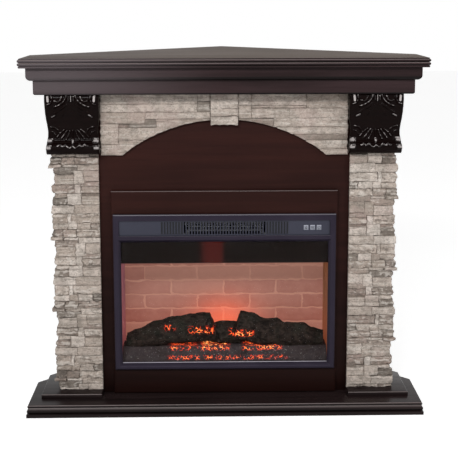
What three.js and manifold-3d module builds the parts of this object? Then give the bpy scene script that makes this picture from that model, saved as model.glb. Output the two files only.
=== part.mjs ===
// Free-standing corner fireplace: a dark wood corner mantel with cast ledger-stone columns,
// an arched stone header and scroll corbels, and an electric firebox insert in its middle.
// Millimetres, +Z up. The front faces -Y, and the two rear edges lie along the walls at 45 degrees.
// The origin is on the floor, under the middle of the plan.

import * as THREE from 'three';
import { mergeVertices } from 'three/addons/utils/BufferGeometryUtils.js';
import Module from 'manifold-3d';

const wasm = await Module();
wasm.setup();

// ---------------------------------------------------------------- driving dimensions: the mantel

const WIDTH = 1114; // over the base mouldings, at the front
const HEIGHT = 1000; // floor to shelf top
const RETURN_DEPTH = 187; // square side returns, before the wall edges begin
const REAR_FLAT = 10; // narrow flat at the rear corner
const WALL_CLEARANCE = 4; // the carcass stays this far inside the wall edges of base and shelf
const FIT = 0.3; // clearance between pieces that are fitted side by side

const BASE_HEIGHT = 36;
const BASE_BAND = 10; // plain band along the floor
const BASE_EDGE_SET_BACK = 7; // top edge of the base behind its lowest band

const SHELF_THICKNESS = 26;
const SHELF_SET_BACK = 5; // shelf edge behind the base's lowest band
const SHELF_BEAD = 4.2; // radius of the two beads along the shelf edge

const CORNICE_SET_BACK = 23.6;
const CORNICE_DROP = 35; // height of the cornice moulding under the shelf
const CORNICE_COVE = 13; // radius of its rounded underside
const FRIEZE_SET_BACK = 40;
const FRIEZE_DROP = 74; // frieze boards reach this far under the shelf
const FRIEZE_ROUND = 6;
const BOARD = 16; // thickness of the frieze boards, carcass, fascia and deck
const SOFFIT = 12;

const CARCASS_DEPTH = 106; // front plane of carcass and fascia behind the base's lowest band
const COLUMN_SET_IN = 207; // inner edge of each column behind the base's side
const COLUMN_CORE = 120; // carcass width of one column
const GABLE_DEPTH = 230; // inner side of each column carcass, which carries the deck
const COLUMN_RETURN = 88; // depth of the stone return on the column's outer side

const PLINTH_THICKNESS = 12.5;
const PLINTH_SET_BACK = 55.7;
const PLINTH_SIDE_SET_BACK = 35.5;
const PLINTH_ROUND = 3;

const STONE_BACKING = 7; // cast slab behind the stone faces
const STONE_RETURN = 5; // thinnest part of the stone return on the column's side
const PANEL_HEIGHT = 206.5; // the cast pattern repeats at this height
const PANEL_CORNER = 122; // stones that end beyond this turn the column's corner
const CORNER_STONE = 100; // and they reach at least this far across the front
const THINNEST_COURSE = 3;

const CORBEL_HEIGHT = 166; // from the column stone to the frieze
const CORBEL_WIDTH = 147;
const CORBEL_PROJECTION = 62; // from the carcass to the front of the upper scroll
const CORBEL_OVERLAP = 7; // the corbel's inner edge stands this far over the header
const CORBEL_WAIST = 5; // side draft at its waist

const ARCH_FOOT = 66.4; // width of the header at each foot of the arch
const ARCH_RISE = 99;
const HEADER_HEIGHT = 173; // at the feet of the arch
const HEADER_BACKING = 9;
const KEYSTONE_HALF = 38;
const KEYSTONE_DROP = 14; // below the crown of the arch
const KEYSTONE_THICKNESS = 17;
const KEYSTONE_COURSE = 23; // height of its two lower courses

const SURROUND_REVEAL = 32; // between the surround and each column
const SURROUND_ABOVE = 77.5; // surround above the insert's casing
const SURROUND_THICKNESS = 13.6;
const SURROUND_CHAMFER = 2;

const DECK_CLEAT = 18; // square section of the cleats under the deck
const RAIL_HEIGHT = 60;
const POST_SIDE = 34;

// ---------------------------------------------------------------- driving dimensions: the insert

const INSERT_FLOOR = 121; // underside of the insert's casing above the floor
const OPENING_MARGIN = 4; // round the casing, where it passes through fascia and surround
const INSERT_SIDE_ROOM = 50; // between the casing and each column
const CASING_HEIGHT = 428;
const CASING_DEPTH = 218;
const SHEET = 1.5;
const REAR_SHEET = 2;

const BEZEL_SIDE_LAP = 13; // bezel beyond the casing at each side
const BEZEL_TOP_LAP = 12.5;
const BEZEL_BOTTOM_LAP = 10.3;
const BEZEL_THICKNESS = 12.4;
const BEZEL_CHAMFER = 2.5;
const BEZEL_SLOPE = 8; // width of the sloped inner edge round the glass
const BEZEL_LIP = 4; // thickness left at the foot of that slope
const WINDOW_SIDE = 8; // from the casing's side to the window
const WINDOW_BOTTOM = 6.6; // above the casing's underside
const WINDOW_UNDER_STRIP = 18.4; // bezel between the window and the outlet strip
const STRIP_SIDE = 4;
const STRIP_DROP = 49; // foot of the outlet strip below the casing's top
const STRIP_HEIGHT = 43.5;
const STRIP_RECESS = 6;

const GLASS_THICKNESS = 4;
const GLASS_LAP = 5; // glass behind the bezel, above and below
const GRILLE_FLANGE = 2;
const SLOT_PITCH = 8;
const SLOT_WIDTH = 4.8;
const GROOVE_DEPTH = 1.6; // of the blind grooves beside the open slots
const GROOVES_TO_BUTTONS = 47;
const SLOT_MARGIN = 4; // above and below the slots
const GRILLE_FACE = 2.4; // thickness of the strip's face over its hollow back

const BUTTON_SIDE = 13.4;
const BUTTON_PITCH = 18.2;
const BUTTON_SET_IN = 71.3; // middle of the first button from the casing's side
const BUTTON_PROUD = 1.2;
const BUTTON_TRAVEL = 1.2;
const BUTTON_FLANGE = 1.5;
const BUTTON_STEM = 2; // half its side
const BUTTON_GAP = 0.3;
const BUTTON_BOARD_Y = 9.2; // face of the switch board behind the bezel's back
const BOARD_THICKNESS = 1.6;
const SWITCH_BOARD_HALF = 14; // half its height
const BOSS_RADIUS = 3;

const HOOD_HEIGHT = 70; // black apron behind the glass
const HOOD_LIP = 7; // return at the foot of the apron
const HOOD_UNDER_STRIP = 11; // upper face of the hood below the outlet strip
const SCREEN_FRONT = 131; // brick faces behind the bezel's back
const SCREEN_THICKNESS = 5;
const BRICK_HEIGHT = 43;
const BRICK_LENGTH = 155;
const BRICK_JOINT = 5;
const BRICK_RELIEF = 1.8;
const SIDE_BRICK_THICKNESS = 4;

const BED_FRONT_HEIGHT = 9; // ember bed at the glass
const BED_REAR_HEIGHT = 42; // and under the logs
const BED_DEPTH = 82;
const BED_SHELL = 3;
const LOG_RADIUS = 40;
const LOG_FLATNESS = 0.82; // depth of a log against its height
const LOG_Y = 56; // log axes behind the bezel's back
const LIGHT_STRIP_DEPTH = 16;

const SPINDLE_Y = 113;
const SPINDLE_Z = 30;
const SPINDLE_ROD = 3;
const SPINDLE_FLAG = 12; // reach of the reflecting strips from the axis
const SPINDLE_FLAGS = 14;
const SPINDLE_ROOM = 62; // beyond each end of the spindle
const MOTOR_RADIUS = 17;
const MOTOR_LENGTH = 22;

const BLOWER_Y = 72;
const BLOWER_RADIUS = 20;
const BLOWER_ROOM = 188; // beyond each end of the wheel, for its motor and the control board
const BLOWER_BLADES = 16;
const BLADE_THICKNESS = 0.7;
const BLOWER_DISC = 2;
const BLOWER_STUB = 9; // shaft beyond each end disc
const BLOWER_END = 6; // housing beyond each end disc
const BLOWER_FOOT = 12; // half the width of the feet under it
const BLOWER_MOTOR = [18, 34]; // radius and length
const BLOWER_SHAFT = 3;
const BLOWER_GAP = 3.5; // between the wheel and its housing
const BEARING_GAP = 0.35;
const HEATER_Y = 14;
const HEATER_DEPTH = 12;
const HEATER_HEIGHT = 26;
const HEATER_RAIL = 4;
const HEATER_FINS = 21;

const CONTROL_BOARD = [112, 130]; // width and depth of the control board
const CONTROL_BOARD_SIDE = 12; // from the casing's side
const CONTROL_BOARD_Y = 60;
const STAND_OFF = 6;

const VENT_PITCH = 20; // air slots in the rear cover
const VENT_LENGTH = 14;
const VENT_HEIGHT = 6;
const VENT_ROW = 18;
const GLAND_SET_IN = 60;
const GLAND_Z = 44;
const GLAND_RADIUS = 8;
const GLAND_BORE = 4;
const GLAND_FLANGE = 4;

const BRACKET_HEIGHT = 70;
const BRACKET_LEG = 34;
const BRACKET_REACH = 0.6; // share of the side room that its fixing leg takes
const BRACKET_SHEET = 2;

// ---------------------------------------------------------------- worked out from those

const HALF = WIDTH / 2;
const WALL_SUM = RETURN_DEPTH + HALF; // |x| + y on the wall edges
const DEPTH = WALL_SUM - REAR_FLAT / 2;
const SHELF_BOTTOM = HEIGHT - SHELF_THICKNESS;
const CORNICE_BOTTOM = SHELF_BOTTOM - CORNICE_DROP;
const FRIEZE_BOTTOM = SHELF_BOTTOM - FRIEZE_DROP;
const PLINTH_TOP = BASE_HEIGHT + PLINTH_THICKNESS;
const PLINTH_OUTER = HALF - PLINTH_SIDE_SET_BACK;
const COLUMN_INNER = HALF - COLUMN_SET_IN;
const COLUMN_OUTER = COLUMN_INNER + COLUMN_CORE;
const STONE_TOP = FRIEZE_BOTTOM - CORBEL_HEIGHT;
const SURROUND_FRONT = CARCASS_DEPTH - SURROUND_THICKNESS;
const SURROUND_HALF = COLUMN_INNER - SURROUND_REVEAL;
const SURROUND_TOP = INSERT_FLOOR + CASING_HEIGHT + SURROUND_ABOVE;
const HEADER_BOTTOM = FRIEZE_BOTTOM - HEADER_HEIGHT;
const ARCH_HALF_SPAN = COLUMN_INNER - ARCH_FOOT;
const ARCH_CROWN = HEADER_BOTTOM + ARCH_RISE;
const ARCH_RADIUS = (ARCH_HALF_SPAN ** 2 + ARCH_RISE ** 2) / (2 * ARCH_RISE);
const HEADER_HALF = COLUMN_INNER - CORBEL_OVERLAP - FIT;
const CASING_HALF = COLUMN_INNER - INSERT_SIDE_ROOM;
const CASING_INSIDE = CASING_HALF - SHEET;
const STRIP_HALF = CASING_HALF - STRIP_SIDE;
const STRIP_BOTTOM = CASING_HEIGHT - STRIP_DROP;
const STRIP_MIDDLE = STRIP_BOTTOM + STRIP_HEIGHT / 2;
const WINDOW_HALF = CASING_HALF - WINDOW_SIDE;
const WINDOW_TOP = STRIP_BOTTOM - WINDOW_UNDER_STRIP;
const HOOD_TOP = STRIP_BOTTOM - HOOD_UNDER_STRIP;
const BUTTON_X = CASING_HALF - BUTTON_SET_IN;
const SPINDLE_HALF = CASING_HALF - SPINDLE_ROOM;
const BLOWER_HALF = CASING_HALF - BLOWER_ROOM;
const BLOWER_Z = (HOOD_TOP + CASING_HEIGHT - SHEET) / 2;
const OPEN_SLOTS = Math.floor(BLOWER_HALF / SLOT_PITCH); // on each side of the middle one
const LAST_GROOVE = Math.floor((BUTTON_X - GROOVES_TO_BUTTONS) / SLOT_PITCH);
const GLAND_X = CASING_HALF - GLAND_SET_IN;

// ---------------------------------------------------------------- geometry kit

/** A closed three.js geometry as a solid that can be joined and cut. */
function solid(geometry) {
  const bare = geometry.index ? geometry.toNonIndexed() : geometry.clone();
  bare.deleteAttribute('normal');
  bare.deleteAttribute('uv');
  const merged = mergeVertices(bare, 1e-4);
  return new wasm.Manifold(new wasm.Mesh({
    numProp: 3,
    vertProperties: new Float32Array(merged.attributes.position.array),
    triVerts: new Uint32Array(merged.index.array),
  }));
}

/** A solid as a three.js geometry again. */
function skin(body) {
  const mesh = body.getMesh();
  const geometry = new THREE.BufferGeometry();
  geometry.setAttribute('position', new THREE.BufferAttribute(new Float32Array(mesh.vertProperties), 3));
  geometry.setIndex(new THREE.BufferAttribute(new Uint32Array(mesh.triVerts), 1));
  geometry.computeVertexNormals();
  return geometry;
}

const join = (bodies) => bodies.reduce((whole, body) => whole.add(body));
const cut = (body, cutters) => cutters.reduce((rest, cutter) => rest.subtract(cutter), body);

/** An upright box between two corners. */
function box(x, y, z) {
  const geometry = new THREE.BoxGeometry(x[1] - x[0], y[1] - y[0], z[1] - z[0]);
  geometry.translate((x[0] + x[1]) / 2, (y[0] + y[1]) / 2, (z[0] + z[1]) / 2);
  return solid(geometry);
}

/** A flat outline pushed along one axis: u and v are the other two, in x, y, z order. */
function prism(axis, outline, span) {
  const shape = new THREE.Shape(outline.map(([u, v]) => new THREE.Vector2(u, v)));
  const geometry = new THREE.ExtrudeGeometry(shape, { depth: span[1] - span[0], bevelEnabled: false });
  const turn = new THREE.Matrix4();
  if (axis === 'x') {
    geometry.translate(0, 0, span[0]);
    turn.makeBasis(new THREE.Vector3(0, 1, 0), new THREE.Vector3(0, 0, 1), new THREE.Vector3(1, 0, 0));
  } else if (axis === 'y') {
    geometry.translate(0, 0, -span[1]);
    turn.makeBasis(new THREE.Vector3(1, 0, 0), new THREE.Vector3(0, 0, 1), new THREE.Vector3(0, -1, 0));
  } else {
    geometry.translate(0, 0, span[0]);
  }
  return solid(geometry.applyMatrix4(turn));
}

/** A round bar along x or y, centred on the other two coordinates. */
function bar(axis, radius, span, a, b, sides = 16) {
  const geometry = new THREE.CylinderGeometry(radius, radius, span[1] - span[0], sides);
  const middle = (span[0] + span[1]) / 2;
  if (axis === 'x') {
    geometry.rotateZ(-Math.PI / 2).translate(middle, a, b);
  } else {
    geometry.translate(a, middle, b);
  }
  return solid(geometry);
}

/** Twice the signed area of a flat ring of [u, v] points. */
const doubleArea = (ring) => ring.reduce((sum, [u, v], i) => {
  const [nextU, nextV] = ring[(i + 1) % ring.length];
  return sum + u * nextV - nextU * v;
}, 0);

/** Triangles over a flat ring of points, all turning the way the ring turns. */
function capTriangles(ring) {
  const normal = new THREE.Vector3();
  ring.forEach((p, i) => normal.add(new THREE.Vector3().crossVectors(p, ring[(i + 1) % ring.length])));
  const size = [Math.abs(normal.x), Math.abs(normal.y), Math.abs(normal.z)];
  const drop = size.indexOf(Math.max(...size));
  const flat = ring.map((p) => p.toArray().filter((_, i) => i !== drop));
  const whole = Math.sign(doubleArea(flat));
  const faces = THREE.ShapeUtils.triangulateShape(flat.map(([u, v]) => new THREE.Vector2(u, v)), []);
  return faces.map((face) => {
    const turns = Math.sign(doubleArea(face.map((i) => flat[i])));
    return turns === whole ? face : [face[0], face[2], face[1]];
  });
}

/** A solid through a row of rings with the same number of corners. */
function loft(rings) {
  const corners = rings[0].length;
  const index = [];
  for (let r = 0; r < rings.length - 1; r += 1) {
    for (let c = 0; c < corners; c += 1) {
      const near = r * corners + c;
      const next = r * corners + ((c + 1) % corners);
      index.push(near, next, next + corners, near, next + corners, near + corners);
    }
  }
  const last = (rings.length - 1) * corners;
  capTriangles(rings[0]).forEach(([a, b, c]) => index.push(a, c, b));
  capTriangles(rings[rings.length - 1]).forEach(([a, b, c]) => index.push(last + a, last + b, last + c));
  const points = rings.flat();
  let volume = 0;
  for (let i = 0; i < index.length; i += 3) {
    const [a, b, c] = [points[index[i]], points[index[i + 1]], points[index[i + 2]]];
    volume += new THREE.Vector3().crossVectors(a, b).dot(c);
  }
  const geometry = new THREE.BufferGeometry();
  geometry.setAttribute('position', new THREE.Float32BufferAttribute(points.flatMap((p) => p.toArray()), 3));
  geometry.setIndex(volume < 0 ? index.reverse() : index);
  return solid(geometry);
}

/** The same solid on the other side of the middle plane. */
function mirrored(body) {
  const geometry = skin(body).scale(-1, 1, 1);
  const index = Array.from(geometry.index.array).reverse();
  geometry.setIndex(index);
  return solid(geometry);
}

/** Points of an arc from one angle to another, in degrees, as [u, v]. */
function arc(u, v, radius, from, to, steps) {
  return Array.from({ length: steps + 1 }, (_, i) => {
    const angle = THREE.MathUtils.degToRad(from + ((to - from) * i) / steps);
    return [u + radius * Math.cos(angle), v + radius * Math.sin(angle)];
  });
}

/** A solid through upright rectangles one behind the other: [x0, x1, z0, z1] at each y. */
function taperedBlock(rectangles, ys) {
  return loft(rectangles.map(([x0, x1, z0, z1], i) => [
    new THREE.Vector3(x0, ys[i], z0), new THREE.Vector3(x1, ys[i], z0),
    new THREE.Vector3(x1, ys[i], z1), new THREE.Vector3(x0, ys[i], z1),
  ]));
}

/** A box whose front edges are chamfered. */
function chamferedBlock(x, y, z, chamfer) {
  const full = [...x, ...z];
  const front = [x[0] + chamfer, x[1] - chamfer, z[0] + chamfer, z[1] - chamfer];
  return taperedBlock([full, full, front], [y[1], y[0] + chamfer, y[0]]);
}

// ---------------------------------------------------------------- materials

const finish = (color, roughness, metalness = 0) => (
  new THREE.MeshStandardMaterial({ color, roughness, metalness })
);
const WOOD = finish(0x35201c, 0.38);
const BARE_WOOD = finish(0x9a8468, 0.8);
const STONE = finish(0xc3b8aa, 0.9);
const CORBEL_RESIN = finish(0x17110f, 0.28);
const BEZEL_METAL = finish(0x3a3b44, 0.42, 0.6);
const BLACK_STEEL = finish(0x141416, 0.35, 0.4);
const GALVANISED = finish(0x9ea3a6, 0.4, 0.8);
const CLEAR_GLASS = finish(0xdfe6e8, 0.05);
const BRICK = finish(0xa86e5c, 0.9);
const LOG_RESIN = finish(0x35332b, 0.95);
const EMBER_RESIN = finish(0x7a2a14, 0.8);
const CIRCUIT_BOARD = finish(0x2f5a3a, 0.6);
const BLACK_PLASTIC = finish(0x1b1b1d, 0.5);
const BUTTON_PLASTIC = finish(0xb9bcc2, 0.4);
const ALUMINIUM = finish(0xc9ccd0, 0.3, 0.9);

// ---------------------------------------------------------------- mantel: plan and mouldings

const wallY = (x, inset = 0) => WALL_SUM - x - inset;

/** The whole plan at one level, set back from the lowest band along front and sides. */
function planRing(setBack, z) {
  const side = HALF - setBack;
  const outline = [
    [-side, setBack], [side, setBack], [side, wallY(side)], [REAR_FLAT / 2, wallY(REAR_FLAT / 2)],
    [-REAR_FLAT / 2, wallY(REAR_FLAT / 2)], [-side, wallY(side)],
  ];
  return outline.map(([x, y]) => new THREE.Vector3(x, y, z));
}

/** A slab of the whole plan with a moulded edge: [set back, z] points from bottom to top. */
const planSlab = (edge) => loft(edge.map(([setBack, z]) => planRing(setBack, z)));

/** One length of moulding: its section is a closed ring of [set back, z] points. */
function mouldingRun(section, side) {
  const inset = WALL_CLEARANCE;
  const ends = {
    front: [(s) => [-(HALF - s), s], (s) => [HALF - s, s]],
    right: [(s) => [HALF - s, s], (s) => [HALF - s, wallY(HALF - s, inset)]],
    left: [(s) => [-(HALF - s), s], (s) => [-(HALF - s), wallY(HALF - s, inset)]],
  }[side];
  return loft(ends.map((place) => section.map(([s, z]) => new THREE.Vector3(...place(s), z))));
}

const OGEE_FOOT = 255; // degrees of the arc above the base's lowest band
const OGEE_TOP = 182;

function baseSlab() {
  const bead = 4.5;
  const lip = BASE_EDGE_SET_BACK + 1;
  const ogee = arc(lip + 1.5, BASE_BAND + 9, 8, OGEE_FOOT, OGEE_TOP, 4);
  return planSlab([
    [0, 0], [0, BASE_BAND - 1.5], [1.5, BASE_BAND], ...ogee, [lip - 5.5, BASE_HEIGHT - 2 * bead - 5],
    ...arc(lip, BASE_HEIGHT - bead, bead, 240, 120, 5), [lip + 0.5, BASE_HEIGHT],
  ]);
}

function shelfTop() {
  const r = SHELF_BEAD;
  const face = SHELF_SET_BACK + r;
  const bottom = SHELF_BOTTOM;
  const lower = bottom + 6 + r;
  const upper = lower + 2 * r + 0.6;
  return planSlab([
    [face, bottom], [face - 2, bottom + 1.5], [face - 2, bottom + 5], [face, bottom + 5.6],
    ...arc(face, lower, r, 270, 90, 6),
    ...arc(face, upper, r, 270, 90, 6),
    [face - 1, upper + r + 0.6], [face - 1, HEIGHT - 0.8], [face, HEIGHT],
  ]);
}

const CORNICE_SECTION = [
  [FRIEZE_SET_BACK, SHELF_BOTTOM], [CORNICE_SET_BACK, SHELF_BOTTOM],
  [CORNICE_SET_BACK, CORNICE_BOTTOM + CORNICE_COVE],
  ...arc(CORNICE_SET_BACK + CORNICE_COVE, CORNICE_BOTTOM + CORNICE_COVE, CORNICE_COVE, 198, 270, 4),
  [FRIEZE_SET_BACK, CORNICE_BOTTOM],
];

const FRIEZE_SECTION = [
  [FRIEZE_SET_BACK + BOARD, SHELF_BOTTOM], [FRIEZE_SET_BACK, SHELF_BOTTOM],
  ...arc(FRIEZE_SET_BACK + FRIEZE_ROUND, FRIEZE_BOTTOM + FRIEZE_ROUND, FRIEZE_ROUND, 180, 270, 4),
  [FRIEZE_SET_BACK + BOARD, FRIEZE_BOTTOM],
];

/** The board that closes the underside of the frieze, open in the middle of the rear. */
function soffit() {
  const side = HALF - FRIEZE_SET_BACK - BOARD;
  const front = FRIEZE_SET_BACK + BOARD;
  const rear = CARCASS_DEPTH + BOARD;
  const inner = COLUMN_INNER + BOARD;
  const inset = WALL_CLEARANCE;
  const half = [[side, front], [side, wallY(side, inset)], [inner, wallY(side, inset)], [inner, rear]];
  const mirrorHalf = half.map(([x, y]) => [-x, y]).reverse();
  return prism('z', [...half, ...mirrorHalf], [FRIEZE_BOTTOM, FRIEZE_BOTTOM + SOFFIT]);
}

// ---------------------------------------------------------------- mantel: carcass

/** Right-hand column carcass: a channel with its back open, whose inner side is a deep gable. */
function columnCarcass() {
  const front = CARCASS_DEPTH;
  const outerRear = wallY(COLUMN_OUTER, WALL_CLEARANCE);
  return prism('z', [
    [COLUMN_INNER, front], [COLUMN_OUTER, front], [COLUMN_OUTER, outerRear],
    [COLUMN_OUTER - BOARD, outerRear], [COLUMN_OUTER - BOARD, front + BOARD],
    [COLUMN_INNER + BOARD, front + BOARD], [COLUMN_INNER + BOARD, front + GABLE_DEPTH],
    [COLUMN_INNER, front + GABLE_DEPTH],
  ], [PLINTH_TOP, FRIEZE_BOTTOM]);
}

/** Right-hand plinth block, rounded along its top edges. */
function plinthBlock() {
  const r = PLINTH_ROUND;
  const gableRear = CARCASS_DEPTH + GABLE_DEPTH;
  const ring = (inset, z) => [
    [COLUMN_INNER + inset, PLINTH_SET_BACK + inset], [PLINTH_OUTER - inset, PLINTH_SET_BACK + inset],
    [PLINTH_OUTER - inset, wallY(PLINTH_OUTER, WALL_CLEARANCE)],
    [wallY(gableRear, WALL_CLEARANCE), gableRear], [COLUMN_INNER + inset, gableRear],
  ].map(([x, y]) => new THREE.Vector3(x, y, z));
  const rounding = arc(-r, PLINTH_TOP - r, r, 0, 90, 3).map(([u, z]) => ring(-u, z));
  return loft([ring(0, BASE_HEIGHT), ...rounding]);
}

const insertOpening = (y) => box(
  [-CASING_HALF - OPENING_MARGIN, CASING_HALF + OPENING_MARGIN], y,
  [INSERT_FLOOR - OPENING_MARGIN, INSERT_FLOOR + CASING_HEIGHT + OPENING_MARGIN],
);

function fasciaPanel() {
  const y = [CARCASS_DEPTH, CARCASS_DEPTH + BOARD];
  const panel = box([-COLUMN_INNER, COLUMN_INNER], y, [BASE_HEIGHT, FRIEZE_BOTTOM]);
  return cut(panel, [insertOpening([y[0] - 1, y[1] + 1])]);
}

function surroundPanel() {
  const y = [SURROUND_FRONT, CARCASS_DEPTH];
  const x = [-SURROUND_HALF, SURROUND_HALF];
  const panel = chamferedBlock(x, y, [BASE_HEIGHT, SURROUND_TOP], SURROUND_CHAMFER);
  return cut(panel, [insertOpening([y[0] - 1, y[1] + 1])]);
}

/** The deck that carries the insert, between the gables. */
const insertDeck = () => box(
  [-COLUMN_INNER, COLUMN_INNER],
  [CARCASS_DEPTH + BOARD, CARCASS_DEPTH + GABLE_DEPTH],
  [INSERT_FLOOR - BOARD, INSERT_FLOOR],
);

const deckCleat = () => box(
  [COLUMN_INNER - DECK_CLEAT, COLUMN_INNER],
  [CARCASS_DEPTH + BOARD + DECK_CLEAT, CARCASS_DEPTH + GABLE_DEPTH],
  [INSERT_FLOOR - BOARD - DECK_CLEAT, INSERT_FLOOR - BOARD],
);

/** Right-hand rail under the shelf, along the wall edge. */
function rearRail() {
  const outer = HALF - FRIEZE_SET_BACK - BOARD;
  const nearWall = WALL_CLEARANCE;
  const farWall = WALL_CLEARANCE + BOARD * Math.SQRT2;
  const post = POST_SIDE / 2;
  return prism('z', [
    [outer, wallY(outer, nearWall)], [post, wallY(post, nearWall)],
    [post, wallY(post, farWall)], [outer, wallY(outer, farWall)],
  ], [SHELF_BOTTOM - RAIL_HEIGHT, SHELF_BOTTOM]);
}

/** The post in the rear corner, which stands on the base and carries the shelf. */
function rearPost() {
  const half = POST_SIDE / 2;
  const rear = wallY(half, WALL_CLEARANCE);
  return box([-half, half], [rear - POST_SIDE, rear], [BASE_HEIGHT, SHELF_BOTTOM]);
}

// ---------------------------------------------------------------- mantel: cast stone

// One cast panel of ledge stones for a right-hand column: [inner end, outer end, top, bottom, proud],
// measured outwards from the column's inner edge and downwards from the panel's top, on a panel
// that is drawn 206.5 high.
const PANEL_UNIT = PANEL_HEIGHT / 206.5;
const PANEL_STONES = [
  [0, 50, 6, 32, 4], [0, 70.5, 32, 57, 6], [0, 80, 57, 84, 1.5], [25.5, 64, 84, 104, 4.5],
  [0, 25.5, 84, 104, 0], [0, 66, 104, 126, 2], [0, 60, 126, 142, 3.5], [0, 42, 142, 173, 5],
  [0, 51, 173, 187, 3], [0, 51, 187, 212.5, 1.5], [50, 89, 0, 32, 6.5], [80, 90, 57, 87, 5],
  [64, 89, 84, 104, 3], [66, 104, 104, 126, 4], [60, 104, 126, 134, 1], [42, 69.5, 142, 181, 4],
  [51, 68, 181, 206.5, 6], [89, 127, 0, 11.5, 3], [89, 134, 11.5, 34, 0.5], [70.5, 136.5, 34, 57, 5.5],
  [90, 134, 57, 87, 2.5], [89, 134, 87, 104, 1.5], [104, 136.5, 104, 125, 0], [104, 141, 125, 134, 6],
  [60, 129.5, 134, 153, 2], [69.5, 126, 153, 181, 4.5], [68, 132, 181, 206.5, 1.5],
].map((stone) => stone.map((size) => size * PANEL_UNIT));

/** Cast stone cladding of the right-hand column: a front and a return round its outer side. */
function columnStone(phase) {
  const face = CARCASS_DEPTH - STONE_BACKING;
  const rear = CARCASS_DEPTH + COLUMN_RETURN;
  const span = [PLINTH_TOP, STONE_TOP];
  const stones = [box([COLUMN_INNER, COLUMN_OUTER + STONE_RETURN], [face, rear], span)];
  for (let top = STONE_TOP + phase; top > PLINTH_TOP; top -= PANEL_HEIGHT) {
    PANEL_STONES.forEach(([inner, outer, above, below, proud]) => {
      const z = [Math.max(top - below, span[0]), Math.min(top - above, span[1])];
      if (z[1] - z[0] > THINNEST_COURSE) {
        const turns = outer > CORNER_STONE;
        const end = turns ? COLUMN_OUTER + outer - PANEL_CORNER : COLUMN_INNER + outer;
        stones.push(box([COLUMN_INNER + inner, end], [face - proud, turns ? rear : CARCASS_DEPTH], z));
      }
    });
  }
  const core = box([COLUMN_INNER - 1, COLUMN_OUTER + FIT], [CARCASS_DEPTH, rear + 1], [0, HEIGHT]);
  return cut(join(stones), [core]);
}

// Long thin stones of the header: [outer end, inner end, top, bottom, proud]. The ends are shares of
// the header's half width, and top and bottom are measured down from the frieze.
const HEADER_STONES_LEFT = [
  [1, 0.219, 0, 53, 3], [0.219, 0, 0, 23, 2], [0.219, 0, 23, 55, 1], [1, 0.639, 53, 85, 1.5],
  [0.639, 0, 53, 72, 3.5], [0.773, 0.549, 72, 96, 0.5], [0.549, 0, 72, 98, 2.5],
  [1, 0.855, 85, 142, 3], [0.855, 0, 96, 130, 2], [1, 0, 130, HEADER_HEIGHT, 1],
];
const HEADER_STONES_RIGHT = [
  [1, 0.662, 0, 43, 2], [0.662, 0, 0, 35, 3], [0.219, 0, 35, 71, 1.5], [1, 0.219, 43, 70, 3.5],
  [1, 0.4, 70, 95.4, 2], [0.4, 0, 70, 100, 1], [1, 0, 95.4, 132, 3],
  [1, 0, 132, 157, 1.5], [1, 0, 157, HEADER_HEIGHT, 2.5],
];

const ARCH_STEPS = 28;

/** Everything under the arch, wide enough to cut any header stone. */
function archCutter() {
  const start = THREE.MathUtils.radToDeg(Math.asin(ARCH_HALF_SPAN / ARCH_RADIUS));
  const curve = arc(0, ARCH_CROWN - ARCH_RADIUS, ARCH_RADIUS, 90 + start, 90 - start, ARCH_STEPS);
  const foot = HEADER_BOTTOM - 1;
  return prism('y', [...curve, [ARCH_HALF_SPAN, foot], [-ARCH_HALF_SPAN, foot]], [0, CARCASS_DEPTH + 1]);
}

/** One half of the arched header. */
function headerStone(stones, side) {
  const face = CARCASS_DEPTH - HEADER_BACKING;
  const inner = KEYSTONE_HALF + FIT;
  const x = side > 0 ? [inner, HEADER_HALF] : [-HEADER_HALF, -inner];
  const slab = box(x, [face, CARCASS_DEPTH], [HEADER_BOTTOM, FRIEZE_BOTTOM]);
  const faces = stones.filter(([, , above]) => above < HEADER_HEIGHT).map((stone) => {
    const [outer, towards, above, below, proud] = stone;
    const ends = [outer * HEADER_HALF * side, Math.max(towards * HEADER_HALF, inner) * side];
    const z = [FRIEZE_BOTTOM - Math.min(below, HEADER_HEIGHT), FRIEZE_BOTTOM - above];
    return box(ends.sort((a, b) => a - b), [face - proud, CARCASS_DEPTH], z);
  });
  return cut(join([slab, ...faces]), [archCutter()]);
}

/** The keystone: three courses, tapered towards the arch. */
function keystone() {
  const bottom = ARCH_CROWN - KEYSTONE_DROP;
  const levels = [bottom, bottom + KEYSTONE_COURSE, bottom + 2 * KEYSTONE_COURSE - 1, FRIEZE_BOTTOM];
  const setBacks = [0, 2, 0.5];
  const courses = setBacks.map((set, i) => {
    const z = [levels[i], levels[i + 1]];
    const front = CARCASS_DEPTH - KEYSTONE_THICKNESS + set;
    return box([-KEYSTONE_HALF, KEYSTONE_HALF], [front, CARCASS_DEPTH], z);
  });
  return join(courses);
}

// ---------------------------------------------------------------- mantel: corbels

// The corbel's profile: [height, reach] as shares, with the lower roll, the waist and the upper scroll.
const CORBEL_PROFILE = [
  [0, 0.66], [0.05, 0.83], [0.1, 0.87], [0.16, 0.82], [0.2, 0.68], [0.26, 0.58], [0.36, 0.58],
  [0.48, 0.64], [0.6, 0.74], [0.72, 0.86], [0.84, 0.97], [0.92, 1], [0.965, 0.98], [1, 0.97],
];
const CORBEL_RIB = 1.6;
const CORBEL_EDGE_SCROLL = 3.2;
const CORBEL_RELIEF_ROOM = 2.5; // the ribs stand on a face this far behind the profile

/** Reach of the corbel's front from the carcass at height t, 0 at its foot and 1 at its top. */
function corbelReach(t) {
  const next = Math.max(CORBEL_PROFILE.findIndex(([at]) => at >= t), 1);
  const [t0, reach0] = CORBEL_PROFILE[next - 1];
  const [t1, reach1] = CORBEL_PROFILE[next];
  return CORBEL_PROJECTION * (reach0 + ((reach1 - reach0) * (t - t0)) / (t1 - t0));
}

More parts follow.
